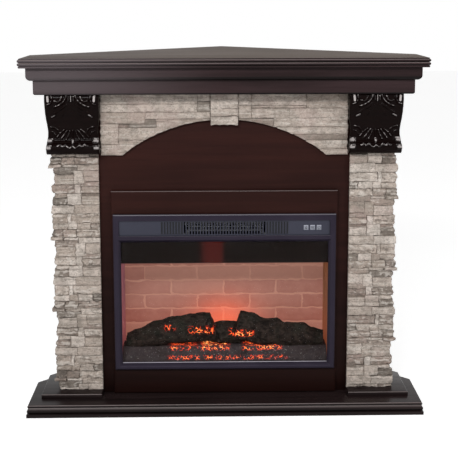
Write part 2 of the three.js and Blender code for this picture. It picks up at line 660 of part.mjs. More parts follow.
/** Raised acanthus ribs over the corbel's face; u runs from -1 to 1 across it. */
function corbelRelief(u, t) {
  const onLeaf = THREE.MathUtils.smoothstep(t, 0.2, 0.3) * (1 - THREE.MathUtils.smoothstep(t, 0.9, 0.96));
  const ribs = CORBEL_RIB * Math.cos(u * Math.PI * 5) * (1 - 0.5 * Math.abs(u));
  const edgeScroll = CORBEL_EDGE_SCROLL * Math.exp(-(((Math.abs(u) - 0.86) / 0.09) ** 2));
  return onLeaf * (ribs + edgeScroll);
}

/** Right-hand scroll corbel, lofted from foot to top. */
function corbel() {
  const rows = 21;
  const columns = 17;
  const middle = COLUMN_INNER - CORBEL_OVERLAP + CORBEL_WIDTH / 2;
  const rings = Array.from({ length: rows + 1 }, (_, row) => {
    const t = row / rows;
    const waist = CORBEL_WAIST * Math.exp(-(((t - 0.36) / 0.2) ** 2));
    const half = CORBEL_WIDTH / 2 - waist;
    const z = STONE_TOP + CORBEL_HEIGHT * t;
    const front = Array.from({ length: columns + 1 }, (__, column) => {
      const u = -1 + (2 * column) / columns;
      const edge = (CORBEL_RELIEF_ROOM * Math.max(0, Math.abs(u) - 0.93)) / 0.07;
      const reach = corbelReach(t) - CORBEL_RELIEF_ROOM + corbelRelief(u, t) - edge;
      return new THREE.Vector3(middle + u * half, CARCASS_DEPTH - reach, z);
    });
    const backRight = new THREE.Vector3(middle + half, CARCASS_DEPTH, z);
    const backLeft = new THREE.Vector3(middle - half, CARCASS_DEPTH, z);
    return [...front, backRight, backLeft];
  });
  return loft(rings);
}

// ---------------------------------------------------------------- insert: front
// The insert has its own frame: y = 0 at the back of the bezel, z = 0 under the casing.

function bezel() {
  const x = CASING_HALF + BEZEL_SIDE_LAP;
  const z = [-BEZEL_BOTTOM_LAP, CASING_HEIGHT + BEZEL_TOP_LAP];
  const front = -BEZEL_THICKNESS;
  const slab = chamferedBlock([-x, x], [front, 0], z, BEZEL_CHAMFER);
  const window = [-WINDOW_HALF, WINDOW_HALF, WINDOW_BOTTOM, WINDOW_TOP];
  const wide = [
    window[0] - BEZEL_SLOPE, window[1] + BEZEL_SLOPE, window[2] - BEZEL_SLOPE, window[3] + BEZEL_SLOPE,
  ];
  const windowCut = box(window.slice(0, 2), [front - 1, 1], window.slice(2));
  const slopeCut = taperedBlock([window, wide], [-BEZEL_LIP, front - 0.1]);
  const stripZ = [STRIP_BOTTOM, STRIP_BOTTOM + STRIP_HEIGHT];
  const stripCut = box([-STRIP_HALF, STRIP_HALF], [front - 1, 1], stripZ);
  return cut(slab, [windowCut, slopeCut, stripCut]);
}

const glassPane = () => box(
  [-WINDOW_HALF - GLASS_LAP, WINDOW_HALF + GLASS_LAP], [0, GLASS_THICKNESS],
  [WINDOW_BOTTOM - Math.min(GLASS_LAP, WINDOW_BOTTOM - SHEET - FIT), WINDOW_TOP + GLASS_LAP],
);

const buttonXs = [0, 1, 2].map((i) => BUTTON_X + i * BUTTON_PITCH);

/** The outlet strip: open slots in the middle, blind grooves beside them, and the button holes. */
function outletGrille() {
  const front = -BEZEL_THICKNESS + STRIP_RECESS;
  const z = [STRIP_BOTTOM + FIT, STRIP_BOTTOM + STRIP_HEIGHT - FIT];
  const flangeBottom = WINDOW_TOP + GLASS_LAP + FIT;
  const plate = box([-STRIP_HALF + FIT, STRIP_HALF - FIT], [front, 0], z);
  const flange = box(
    [-CASING_INSIDE + FIT, CASING_INSIDE - FIT], [0, GRILLE_FLANGE],
    [flangeBottom, CASING_HEIGHT - SHEET - FIT],
  );
  const through = [front - 1, GRILLE_FLANGE + 1];
  const rim = 3; // wall left round the hollow back
  const hollow = box(
    [-STRIP_HALF + 2 * rim, STRIP_HALF - 2 * rim], [front + GRILLE_FACE, GRILLE_FLANGE + 1],
    [z[0] + rim, z[1] - rim],
  );
  const slotZ = [STRIP_BOTTOM + SLOT_MARGIN, STRIP_BOTTOM + STRIP_HEIGHT - SLOT_MARGIN];
  const cutters = [];
  for (let i = -LAST_GROOVE; i <= LAST_GROOVE; i += 1) {
    const x = [i * SLOT_PITCH - SLOT_WIDTH / 2, i * SLOT_PITCH + SLOT_WIDTH / 2];
    cutters.push(box(x, Math.abs(i) <= OPEN_SLOTS ? through : [front - 1, front + GROOVE_DEPTH], slotZ));
  }
  const hole = BUTTON_SIDE / 2 + BUTTON_GAP;
  buttonXs.forEach((x) => {
    cutters.push(box([x - hole, x + hole], through, [STRIP_MIDDLE - hole, STRIP_MIDDLE + hole]));
  });
  const bossX = [BUTTON_X - BUTTON_PITCH, BUTTON_X + 3 * BUTTON_PITCH];
  const bosses = bossX.map((x) => bar('y', BOSS_RADIUS, [front + 1, BUTTON_BOARD_Y], x, STRIP_MIDDLE, 12));
  return join([cut(join([plate, flange]), [hollow, ...cutters]), ...bosses]);
}

/** One push button: its cap in the strip and a wider flange that keeps it in. */
function pushButton(x) {
  const half = BUTTON_SIDE / 2;
  const face = -BEZEL_THICKNESS + STRIP_RECESS - BUTTON_PROUD;
  const flangeFront = GRILLE_FLANGE + FIT;
  const flangeRear = flangeFront + BUTTON_FLANGE;
  const cap = chamferedBlock(
    [x - half, x + half], [face, flangeRear], [STRIP_MIDDLE - half, STRIP_MIDDLE + half], 1,
  );
  const wide = half + 1.5;
  const flange = box(
    [x - wide, x + wide], [flangeFront, flangeRear], [STRIP_MIDDLE - wide, STRIP_MIDDLE + wide],
  );
  const stemEnd = BUTTON_BOARD_Y - BUTTON_TRAVEL - FIT;
  const stem = box(
    [x - BUTTON_STEM, x + BUTTON_STEM], [flangeFront, stemEnd],
    [STRIP_MIDDLE - BUTTON_STEM, STRIP_MIDDLE + BUTTON_STEM],
  );
  return join([cap, flange, stem]);
}

/** The switch board on its two bosses. */
const buttonBoard = () => box(
  [BUTTON_X - BUTTON_PITCH - 6, BUTTON_X + 3 * BUTTON_PITCH + 6],
  [BUTTON_BOARD_Y, BUTTON_BOARD_Y + BOARD_THICKNESS],
  [STRIP_MIDDLE - SWITCH_BOARD_HALF, STRIP_MIDDLE + SWITCH_BOARD_HALF],
);

// ---------------------------------------------------------------- insert: casing and firebox

/** The sheet-steel sleeve, open at the front and closed by the rear cover. */
function casing() {
  const insideZ = [SHEET, CASING_HEIGHT - SHEET];
  const inside = box([-CASING_INSIDE, CASING_INSIDE], [-1, CASING_DEPTH + 1], insideZ);
  return cut(box([-CASING_HALF, CASING_HALF], [0, CASING_DEPTH], [0, CASING_HEIGHT]), [inside]);
}

/** The rear cover, with two rows of air slots and the hole for the cord's gland. */
function rearCover() {
  const y = [CASING_DEPTH, CASING_DEPTH + REAR_SHEET];
  const plate = box([-CASING_HALF, CASING_HALF], y, [0, CASING_HEIGHT]);
  const slots = [];
  const vents = Math.floor(BLOWER_HALF / VENT_PITCH);
  [BLOWER_Z - (VENT_ROW + VENT_HEIGHT) / 2, BLOWER_Z + (VENT_ROW - VENT_HEIGHT) / 2].forEach((z) => {
    for (let i = -vents; i <= vents; i += 1) {
      const x = [i * VENT_PITCH - VENT_LENGTH / 2, i * VENT_PITCH + VENT_LENGTH / 2];
      slots.push(box(x, [y[0] - 1, y[1] + 1], [z, z + VENT_HEIGHT]));
    }
  });
  const hole = bar('y', GLAND_RADIUS + FIT, [y[0] - 1, y[1] + 1], GLAND_X, GLAND_Z, 20);
  return cut(plate, [...slots, hole]);
}

/** The cord's inlet: a turned body with a flange outside the cover and a nut inside it. */
function cordGland() {
  const outside = CASING_DEPTH + REAR_SHEET;
  const nut = CASING_DEPTH - 7;
  const wide = GLAND_RADIUS + GLAND_FLANGE;
  const profile = [
    [GLAND_BORE, nut], [wide, nut], [wide, CASING_DEPTH], [GLAND_RADIUS, CASING_DEPTH],
    [GLAND_RADIUS, outside], [wide, outside], [wide, outside + 3], [GLAND_RADIUS - 1, outside + 3],
    [GLAND_RADIUS - 2, outside + 10], [GLAND_BORE, outside + 10], [GLAND_BORE, nut],
  ].map(([r, y]) => new THREE.Vector2(r, y));
  const geometry = new THREE.LatheGeometry(profile, 20);
  return solid(geometry.translate(GLAND_X, 0, GLAND_Z));
}

/** The black hood: an apron behind the glass and the floor of the blower's compartment. */
function hood() {
  const front = GLASS_THICKNESS + 1;
  const rear = SCREEN_FRONT + SCREEN_THICKNESS;
  const top = HOOD_TOP;
  const foot = top - HOOD_HEIGHT;
  const lipZ = foot - HOOD_LIP * 0.4;
  const t = SHEET;
  return prism('x', [
    [front, top], [front, foot], [front + HOOD_LIP, lipZ], [front + HOOD_LIP, lipZ + t],
    [front + t, foot + t], [front + t, top - t], [rear, top - t], [rear, top],
  ], [-CASING_INSIDE + FIT, CASING_INSIDE - FIT]);
}

/** Brick faces in half bond over a rectangle: a list of [u0, u1, v0, v1]. */
function brickCourses(u, v) {
  const bricks = [];
  for (let course = 0, bottom = v[0]; bottom < v[1]; course += 1, bottom += BRICK_HEIGHT) {
    const shift = course % 2 ? BRICK_LENGTH / 2 : 0;
    const top = Math.min(bottom + BRICK_HEIGHT - BRICK_JOINT, v[1]);
    const first = Math.floor((u[0] - shift) / BRICK_LENGTH) * BRICK_LENGTH + shift;
    for (let start = first; start < u[1]; start += BRICK_LENGTH) {
      const ends = [Math.max(start, u[0]), Math.min(start + BRICK_LENGTH - BRICK_JOINT, u[1])];
      if (ends[1] - ends[0] > BRICK_JOINT && top - bottom > BRICK_JOINT) {
        bricks.push([...ends, bottom, top]);
      }
    }
  }
  return bricks;
}

const SCREEN_HALF = CASING_INSIDE - FIT;
const SCREEN_Z = [SHEET, HOOD_TOP - SHEET];

/** The brick-faced screen at the back of the firebox. */
function brickScreen() {
  const y = [SCREEN_FRONT + BRICK_RELIEF, SCREEN_FRONT + SCREEN_THICKNESS];
  const slab = box([-SCREEN_HALF, SCREEN_HALF], y, SCREEN_Z);
  const faces = brickCourses([-SCREEN_HALF, SCREEN_HALF], SCREEN_Z);
  return join([slab, ...faces.map(([x0, x1, z0, z1]) => box([x0, x1], [SCREEN_FRONT, y[1]], [z0, z1]))]);
}

/** Right-hand brick liner, under the hood's apron. */
function sideLiner() {
  const x = [CASING_INSIDE - FIT - SIDE_BRICK_THICKNESS, CASING_INSIDE - FIT];
  const front = GLASS_THICKNESS + 10;
  const y = [front, SCREEN_FRONT - FIT];
  const z = [SHEET, HOOD_TOP - HOOD_HEIGHT - 10];
  const slab = box([x[0] + BRICK_RELIEF, x[1]], y, z);
  const faces = brickCourses(y, z).map(([y0, y1, z0, z1]) => box(x, [y0, y1], [z0, z1]));
  return join([slab, ...faces]);
}

/** Uneven height of the ember bed over a straight rise from the glass to the logs. */
const emberBump = (x, y) => 1.5 * Math.sin(x * 0.09 + y * 0.31) + 1.2 * Math.sin(x * 0.053 - y * 0.22);

const BED_HALF = CASING_INSIDE - SIDE_BRICK_THICKNESS - 2 * FIT;
const BED_FRONT = GLASS_THICKNESS + 9;
const LOG_SEAT = SHEET + BED_REAR_HEIGHT;

/** The moulded ember bed: a shell, hollow beneath for its lights. */
function emberBed() {
  const columns = 36;
  const y = [BED_FRONT, BED_FRONT + 6, BED_FRONT + 14, BED_FRONT + 22, BED_FRONT + BED_DEPTH];
  const rings = y.map((depth, row) => {
    const share = Math.min(row / 3, 1);
    const rise = SHEET + BED_FRONT_HEIGHT + (BED_REAR_HEIGHT - BED_FRONT_HEIGHT) * share;
    const top = Array.from({ length: columns + 1 }, (_, i) => {
      const x = BED_HALF - (2 * BED_HALF * i) / columns;
      const bump = row < 3 ? emberBump(x, depth) : 0;
      return new THREE.Vector3(x, depth, rise + bump);
    });
    return [new THREE.Vector3(-BED_HALF, depth, SHEET), new THREE.Vector3(BED_HALF, depth, SHEET), ...top];
  });
  const hollow = box(
    [-BED_HALF + 40, BED_HALF - 40], [BED_FRONT + 16, BED_FRONT + BED_DEPTH - BED_SHELL],
    [SHEET - 1, SHEET + BED_REAR_HEIGHT - 14],
  );
  return cut(loft(rings), [hollow]);
}

const lightStrip = () => box(
  [-BED_HALF + 60, BED_HALF - 60],
  [BED_FRONT + 30, BED_FRONT + 30 + LIGHT_STRIP_DEPTH],
  [SHEET, SHEET + BOARD_THICKNESS],
);

/**
 * One cast log, flat where it lies on the bed. Its stations are shares: x of the casing's half width,
 * then the axis behind LOG_Y, the axis above the bed, the radius and the lean of LOG_RADIUS.
 */
function castLog(stations, seed) {
  const sides = 12;
  const rings = stations.map(([across, behind, above, thick, lean], s) => (
    Array.from({ length: sides }, (_, i) => {
      const angle = (2 * Math.PI * i) / sides;
      const r = LOG_RADIUS * thick * (1 + 0.1 * Math.sin(i * 2.3 + s * 1.1 + seed));
      return new THREE.Vector3(
        across * CASING_HALF + lean * LOG_RADIUS * Math.sin(angle),
        LOG_Y + behind * LOG_RADIUS + r * LOG_FLATNESS * Math.cos(angle),
        LOG_SEAT + above * LOG_RADIUS + r * Math.sin(angle),
      );
    })
  ));
  const under = box([-CASING_HALF, CASING_HALF], [-CASING_DEPTH, CASING_DEPTH], [-CASING_HEIGHT, LOG_SEAT]);
  return cut(loft(rings), [under]);
}

/** The two long logs lean on the bed and rise towards the middle of the firebox. */
const logLeft = () => castLog([
  [-0.947, 0, 0.3, 0.65, 0.05], [-0.85, 0, 0.43, 0.82, 0.08], [-0.683, -0.05, 0.6, 0.92, 0.1],
  [-0.5, 0, 0.62, 0.92, 0.08], [-0.317, 0.05, 0.66, 0.9, 0.05], [-0.183, 0.05, 0.68, 0.88, -0.2],
  [-0.1, 0.05, 0.68, 0.84, -0.35],
], 0.4);

const logRight = () => castLog([
  [0.153, 0.05, 0.7, 0.84, 0.3], [0.25, 0.05, 0.68, 0.88, 0.2], [0.38, 0, 0.6, 0.9, 0.08],
  [0.49, 0, 0.62, 0.92, 0.05], [0.583, -0.05, 0.58, 0.9, 0.05], [0.76, 0, 0.56, 0.88, 0.05],
  [0.84, 0, 0.38, 0.84, 0.05], [0.947, 0, 0.33, 0.68, 0.05],
], 2.1);

const logMiddle = () => castLog([
  [-0.047, 0.1, 0.62, 0.78, 0], [0, 0.1, 0.66, 0.84, 0], [0.073, 0.1, 0.66, 0.84, 0],
  [0.1, 0.1, 0.64, 0.78, 0],
], 1.2);

// ---------------------------------------------------------------- insert: flame mechanism

/** The flame spindle: a rod with a spiral of reflecting strips, turning about x. */
function flameSpindle() {
  const rod = bar('x', SPINDLE_ROD, [-SPINDLE_HALF - 8, SPINDLE_HALF], SPINDLE_Y, SPINDLE_Z, 12);
  const pitch = (2 * SPINDLE_HALF - 30) / SPINDLE_FLAGS;
  const flags = Array.from({ length: SPINDLE_FLAGS }, (_, i) => {
    const middle = -SPINDLE_HALF + 15 + pitch * (i + 0.5);
    const geometry = new THREE.BoxGeometry(pitch * 0.72, 2 * SPINDLE_FLAG, 0.8);
    geometry.rotateX((i * Math.PI * 2) / 5).translate(middle, SPINDLE_Y, SPINDLE_Z);
    return solid(geometry);
  });
  return join([rod, ...flags]);
}

/** The spindle's bearing: an upright tab on the casing's floor. */
function spindleBracket() {
  const x = [-SPINDLE_HALF - 4, -SPINDLE_HALF - 1.5];
  const tab = box(x, [SPINDLE_Y - 10, SPINDLE_Y + 10], [SHEET, SPINDLE_Z + 10]);
  const foot = box([x[0] - 14, x[0] + 1], [SPINDLE_Y - 10, SPINDLE_Y + 10], [SHEET, SHEET + 2]);
  const bore = bar('x', SPINDLE_ROD + BEARING_GAP, [x[0] - 1, x[1] + 1], SPINDLE_Y, SPINDLE_Z, 12);
  return cut(join([tab, foot]), [bore]);
}

/** The spindle's geared motor, on a foot on the casing's floor. */
function spindleMotor() {
  const start = SPINDLE_HALF + FIT;
  const shaft = bar('x', SPINDLE_ROD, [start, start + 12], SPINDLE_Y, SPINDLE_Z, 12);
  const body = bar('x', MOTOR_RADIUS, [start + 10, start + 10 + MOTOR_LENGTH], SPINDLE_Y, SPINDLE_Z, 24);
  const foot = box(
    [start + 12, start + 8 + MOTOR_LENGTH], [SPINDLE_Y - 14, SPINDLE_Y + 14], [SHEET, SPINDLE_Z - 10],
  );
  return join([shaft, body, foot]);
}

// ---------------------------------------------------------------- insert: blower, heater, board

/** The blower's wheel: curved blades between three discs on a shaft. */
function blowerWheel() {
  const ends = [-BLOWER_HALF - BLOWER_STUB, BLOWER_HALF + BLOWER_STUB];
  const shaft = bar('x', BLOWER_SHAFT, ends, BLOWER_Y, BLOWER_Z, 12);
  const discs = [-BLOWER_HALF, -BLOWER_DISC / 2, BLOWER_HALF - BLOWER_DISC].map((x) => (
    bar('x', BLOWER_RADIUS, [x, x + BLOWER_DISC], BLOWER_Y, BLOWER_Z, 32)
  ));
  const blade = (turn) => {
    const points = [[0.995, 0], [0.9, 0.16], [0.72, 0.224]].map(([share, swing]) => (
      [BLOWER_RADIUS * share, turn + swing]
    ));
    const place = ([r, a], side) => {
      const across = (side * BLADE_THICKNESS) / 2;
      return [
        BLOWER_Y + r * Math.cos(a) - across * Math.sin(a),
        BLOWER_Z + r * Math.sin(a) + across * Math.cos(a),
      ];
    };
    const outline = [...points.map((p) => place(p, -1)), ...points.map((p) => place(p, 1)).reverse()];
    return prism('x', outline, [-BLOWER_HALF + 1, BLOWER_HALF - 1]);
  };
  const turns = Array.from({ length: BLOWER_BLADES }, (_, i) => (2 * Math.PI * i) / BLOWER_BLADES);
  return join([shaft, ...discs, ...turns.map(blade)]);
}

/** The blower's housing: a scroll of sheet round the wheel, open to the outlet, with two end plates. */
function blowerHousing() {
  const inner = BLOWER_RADIUS + BLOWER_GAP;
  const outer = inner + SHEET;
  const scroll = (r) => arc(BLOWER_Y, BLOWER_Z, r, -80, 100, 12);
  const lowerLip = [HEATER_Y + HEATER_DEPTH + 4, HOOD_TOP + 3];
  const outline = [
    [lowerLip[0], lowerLip[1]], ...scroll(outer).slice(0, 1).map(([u]) => [u, HOOD_TOP + 0.6]),
    ...scroll(outer).slice(1), ...scroll(inner).reverse(), [lowerLip[0], lowerLip[1] + SHEET],
  ];
  const end = BLOWER_HALF + BLOWER_END;
  const shell = prism('x', outline, [-end, end]);
  const ends = [[-end, -end + SHEET], [end - SHEET, end]].map((x) => {
    const disc = bar('x', outer - 0.2, x, BLOWER_Y, BLOWER_Z, 36);
    const foot = box(x, [BLOWER_Y - BLOWER_FOOT, BLOWER_Y + BLOWER_FOOT], [HOOD_TOP, BLOWER_Z]);
    const bore = bar('x', BLOWER_SHAFT + BEARING_GAP, [x[0] - 1, x[1] + 1], BLOWER_Y, BLOWER_Z, 12);
    return cut(join([disc, foot]), [bore]);
  });
  return join([shell, ...ends]);
}

/** The blower's motor, with a foot on the hood; the shaft runs into its hollow boss. */
function blowerMotor() {
  const start = BLOWER_HALF + BLOWER_STUB + FIT;
  const [radius, length] = BLOWER_MOTOR;
  const body = bar('x', radius, [start, start + length], BLOWER_Y, BLOWER_Z, 24);
  const foot = box(
    [start + 4, start + length - 4], [BLOWER_Y - BLOWER_FOOT, BLOWER_Y + BLOWER_FOOT],
    [HOOD_TOP, BLOWER_Z - 10],
  );
  return join([body, foot]);
}

/** The heater behind the slots: a ceramic frame with upright fins between its two rails. */
function heatingElement() {
  const half = (OPEN_SLOTS - 0.25) * SLOT_PITCH;
  const y = [HEATER_Y, HEATER_Y + HEATER_DEPTH];
  const z = [STRIP_MIDDLE - HEATER_HEIGHT / 2, STRIP_MIDDLE + HEATER_HEIGHT / 2];
  const rails = [[z[0], z[0] + HEATER_RAIL], [z[1] - HEATER_RAIL, z[1]]].map((span) => (
    box([-half, half], y, span)
  ));
  const fins = Array.from({ length: HEATER_FINS }, (_, i) => {
    const x = -half + 2 + ((2 * half - 4) * i) / (HEATER_FINS - 1);
    return box([x - 1, x + 1], [y[0] + 1, y[1] - 1], [z[0] + 1, z[1] - 1]);
  });
  const foot = 2 * HEATER_RAIL;
  const feet = [-half, half - foot].map((x) => box([x, x + foot], y, [HOOD_TOP, z[0] + 2]));
  return join([...rails, ...fins, ...feet]);
}

// Parts on the control board, from its front left corner: [left, right, front, rear, height].
const BOARD_PARTS = [
  [10, 46, 10, 44, 26], [56, 74, 12, 36, 16], [82, 100, 12, 36, 16], [12, 28, 56, 72, 20],
  [38, 104, 108, 124, 12], [40, 50, 60, 70, 14],
];

/** The control board on four stand-offs, with its relay, transformer, capacitors and terminals. */
function controlBoard() {
  const [width, depth] = CONTROL_BOARD;
  const corner = [CASING_HALF - CONTROL_BOARD_SIDE - width, CONTROL_BOARD_Y];
  const bottom = HOOD_TOP;
  const top = bottom + STAND_OFF + BOARD_THICKNESS;
  const board = box(
    [corner[0], corner[0] + width], [corner[1], corner[1] + depth], [bottom + STAND_OFF, top],
  );
  const half = STAND_OFF / 2;
  const standX = [corner[0] + STAND_OFF, corner[0] + width - STAND_OFF];
  const standY = [corner[1] + STAND_OFF, SCREEN_FRONT - 2];
  const stands = standX.flatMap((x) => standY.map((y) => (
    box([x - half, x + half], [y - half, y + half], [bottom, top - BOARD_THICKNESS / 2])
  )));
  const parts = BOARD_PARTS.map(([x0, x1, y0, y1, high]) => (
    box([corner[0] + x0, corner[0] + x1], [corner[1] + y0, corner[1] + y1], [top - 0.5, top + high])
  ));
  return join([board, ...stands, ...parts]);
}

/** Right-hand angle that ties the casing to the back of the fascia. */
function mountingBracket() {
  const behind = CARCASS_DEPTH + BOARD - SURROUND_FRONT;
  const z = [(CASING_HEIGHT - BRACKET_HEIGHT) / 2, (CASING_HEIGHT + BRACKET_HEIGHT) / 2];
  const t = BRACKET_SHEET;
  const onCasing = box([CASING_HALF, CASING_HALF + t], [behind, behind + BRACKET_LEG], z);
  const reach = BRACKET_REACH * INSERT_SIDE_ROOM;
  const onFascia = box([CASING_HALF, CASING_HALF + reach], [behind, behind + t], z);
  return join([onCasing, onFascia]);
}

// ---------------------------------------------------------------- assembly

const fireplace = new THREE.Group();
fireplace.position.y = -DEPTH / 2;
const insert = new THREE.Group();
insert.position.set(0, SURROUND_FRONT, INSERT_FLOOR);
fireplace.add(insert);

function place(group, name, body, material) {
  const mesh = new THREE.Mesh(skin(body), material);
  mesh.name = name;
  group.add(mesh);
}

function placePair(group, name, rightBody, material) {
  place(group, `${name}_right`, rightBody, material);
  place(group, `${name}_left`, mirrored(rightBody), material);
}

place(fireplace, 'base_slab', baseSlab(), WOOD);
place(fireplace, 'shelf_top', shelfTop(), WOOD);
['front', 'left', 'right'].forEach((side) => {
  place(fireplace, `cornice_moulding_${side}`, mouldingRun(CORNICE_SECTION, side), WOOD);
  place(fireplace, `frieze_board_${side}`, mouldingRun(FRIEZE_SECTION, side), WOOD);
});
place(fireplace, 'frieze_soffit', soffit(), WOOD);
placePair(fireplace, 'plinth_block', plinthBlock(), WOOD);
placePair(fireplace, 'column_carcass', columnCarcass(), WOOD);
place(fireplace, 'fascia_panel', fasciaPanel(), WOOD);
place(fireplace, 'surround_panel', surroundPanel(), WOOD);
place(fireplace, 'insert_deck', insertDeck(), BARE_WOOD);
placePair(fireplace, 'deck_cleat', deckCleat(), BARE_WOOD);
placePair(fireplace, 'rear_rail', rearRail(), BARE_WOOD);
place(fireplace, 'rear_post', rearPost(), BARE_WOOD);
place(fireplace, 'column_stone_right', columnStone(0), STONE);
place(fireplace, 'column_stone_left', mirrored(columnStone(PANEL_HEIGHT * 0.45)), STONE);
place(fireplace, 'header_stone_right', headerStone(HEADER_STONES_RIGHT, 1), STONE);
place(fireplace, 'header_stone_left', headerStone(HEADER_STONES_LEFT, -1), STONE);
place(fireplace, 'keystone', keystone(), STONE);
placePair(fireplace, 'corbel', corbel(), CORBEL_RESIN);

place(insert, 'insert_bezel', bezel(), BEZEL_METAL);
place(insert, 'glass_pane', glassPane(), CLEAR_GLASS);
place(insert, 'outlet_grille', outletGrille(), BEZEL_METAL);
['flame_button', 'heat_button', 'power_button'].forEach((name, i) => {
  place(insert, name, pushButton(buttonXs[i]), BUTTON_PLASTIC);
});
place(insert, 'button_board', buttonBoard(), CIRCUIT_BOARD);
place(insert, 'firebox_casing', casing(), BLACK_STEEL);
place(insert, 'rear_cover', rearCover(), BLACK_STEEL);
place(insert, 'cord_gland', cordGland(), BLACK_PLASTIC);
place(insert, 'firebox_hood', hood(), BLACK_STEEL);
place(insert, 'brick_screen', brickScreen(), BRICK);
placePair(insert, 'brick_liner', sideLiner(), BRICK);
place(insert, 'ember_bed', emberBed(), EMBER_RESIN);
place(insert, 'ember_light_strip', lightStrip(), CIRCUIT_BOARD);
place(insert, 'log_left', logLeft(), LOG_RESIN);
place(insert, 'log_right', logRight(), LOG_RESIN);
place(insert, 'log_middle', logMiddle(), LOG_RESIN);
place(insert, 'flame_spindle', flameSpindle(), ALUMINIUM);
place(insert, 'spindle_bracket', spindleBracket(), GALVANISED);
place(insert, 'spindle_motor', spindleMotor(), GALVANISED);
place(insert, 'blower_wheel', blowerWheel(), ALUMINIUM);
place(insert, 'blower_housing', blowerHousing(), GALVANISED);
place(insert, 'blower_motor', blowerMotor(), BLACK_PLASTIC);
place(insert, 'heating_element', heatingElement(), GALVANISED);
place(insert, 'control_board', controlBoard(), CIRCUIT_BOARD);
placePair(insert, 'mounting_bracket', mountingBracket(), GALVANISED);

export default fireplace;
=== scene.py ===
import math

import bmesh
import bpy
from mathutils import Matrix, Vector, noise


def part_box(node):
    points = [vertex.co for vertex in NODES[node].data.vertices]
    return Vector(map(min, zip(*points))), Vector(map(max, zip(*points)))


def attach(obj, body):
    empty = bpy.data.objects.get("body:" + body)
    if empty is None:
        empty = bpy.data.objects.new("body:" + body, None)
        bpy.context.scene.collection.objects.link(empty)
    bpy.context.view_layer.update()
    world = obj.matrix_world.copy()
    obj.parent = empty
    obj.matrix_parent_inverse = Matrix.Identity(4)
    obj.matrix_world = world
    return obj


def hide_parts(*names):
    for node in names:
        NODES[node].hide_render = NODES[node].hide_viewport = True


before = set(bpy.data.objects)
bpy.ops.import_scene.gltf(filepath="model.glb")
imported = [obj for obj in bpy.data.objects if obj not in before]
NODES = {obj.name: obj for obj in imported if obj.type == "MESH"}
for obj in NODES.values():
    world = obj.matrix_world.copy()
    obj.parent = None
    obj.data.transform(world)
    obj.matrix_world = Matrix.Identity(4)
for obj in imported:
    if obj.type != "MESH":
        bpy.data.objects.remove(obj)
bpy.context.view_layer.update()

bl_info = {
    "name": "Corner Fireplace",
    "version": (1, 0, 0),
    "blender": (4, 5, 0),
    "location": "3D View > Sidebar > Fireplace",
    "description": "Dresses the packed corner fireplace: wood, ledge stone, carving and the lit insert",
    "category": "Object",
}

MM = 0.001
SIDES = (("right", 1.0), ("left", -1.0))
DEPTH = 739.0  # from the base's front edge to the rear corner
HALF = 557.0  # half the base's width
WALL_SUM = 744.0  # |x| + depth on the wall edges
RUN_SUM = 740.0  # the same at the rear ends of the side runs
CARCASS = 106.0  # depth of the carcass plane
INNER = 350.0  # from the middle to the inner side of a column
MORTAR_FACE = 101.5  # depth of the mortar's face behind the stones
SHELF_FOOT, SHELF_TOP = 974.0, 1000.0
HEADER_FOOT, HEADER_TOP = 727.0, 900.0


def at(x, depth, z):
    """A point from millimetres: x, depth behind the base's front edge, height."""
    return Vector((x, depth - DEPTH / 2, z)) * MM


def box_mm(node):
    """A node's box in millimetres: the (low, high) of x, depth and height."""
    lo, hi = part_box(node)
    return [(a / MM + ahead, b / MM + ahead) for a, b, ahead in zip(lo, hi, (0.0, DEPTH / 2, 0.0))]


def ripple(x, y, z):
    """Smooth noise from -1 to 1."""
    return noise.noise(Vector((x, y, z)))


def hash01(*values):
    """A steady pseudo-random number from 0 to 1."""
    mixed = sum(v * k for v, k in zip(values, (12.9898, 78.233, 37.719, 4.581)))
    return (math.sin(mixed) * 43758.5453) % 1.0


# ---- settings


def colour_setting(name, description, value):
    return bpy.props.FloatVectorProperty(
        name=name, description=description, subtype="COLOR", size=3, default=value, min=0, max=1)


def number_setting(name, description, value, low, high, unit="NONE"):
    return bpy.props.FloatProperty(
        name=name, description=description, default=value, min=low, max=high, unit=unit)


class FireplaceWood(bpy.types.PropertyGroup):
    dark: colour_setting("Dark grain", "Deepest tone of the wood", (0.015, 0.0078, 0.0080))
    light: colour_setting("Light grain", "Lightest tone of the wood", (0.042, 0.024, 0.0255))
    panel: colour_setting("Panel grain", "Lightest tone of the front panels", (0.033, 0.0112, 0.009))
    gloss: number_setting("Roughness", "Roughness of the lacquer", 0.3, 0, 1)


class FireplaceStone(bpy.types.PropertyGroup):
    cell: number_setting("Cell", "Spacing of the points on a face", 0.0026, 0.0015, 0.01, "LENGTH")
    rough: number_setting("Relief", "Height of a face's roughness", 0.0016, 0, 0.004, "LENGTH")
    gap: number_setting("Gap", "Open joint between two stones", 0.0005, 0, 0.005, "LENGTH")


class FireplaceFire(bpy.types.PropertyGroup):
    glow: colour_setting("Glow", "Colour of the glow behind the logs", (1.0, 0.135, 0.048))
    ember: number_setting("Embers", "Strength of the lit embers", 1.5, 0, 20)
    # Brick light is painted light: emission on the brick slips.
    screen: number_setting("Brick light", "Strength of the light on the bricks", 0.44, 0, 5)


class FireplaceStage(bpy.types.PropertyGroup):
    lens: number_setting("Lens", "Focal length of the camera", 85.5, 10, 300)
    shift: number_setting("Shift", "Vertical shift of the camera", -0.12, -1, 1)
    world: number_setting("Room light", "Strength of the even light of the room", 0.42, 0, 5)
    key: number_setting("Front light", "Power of the large front light", 75, 0, 2000, "POWER")


# ---- shader kit


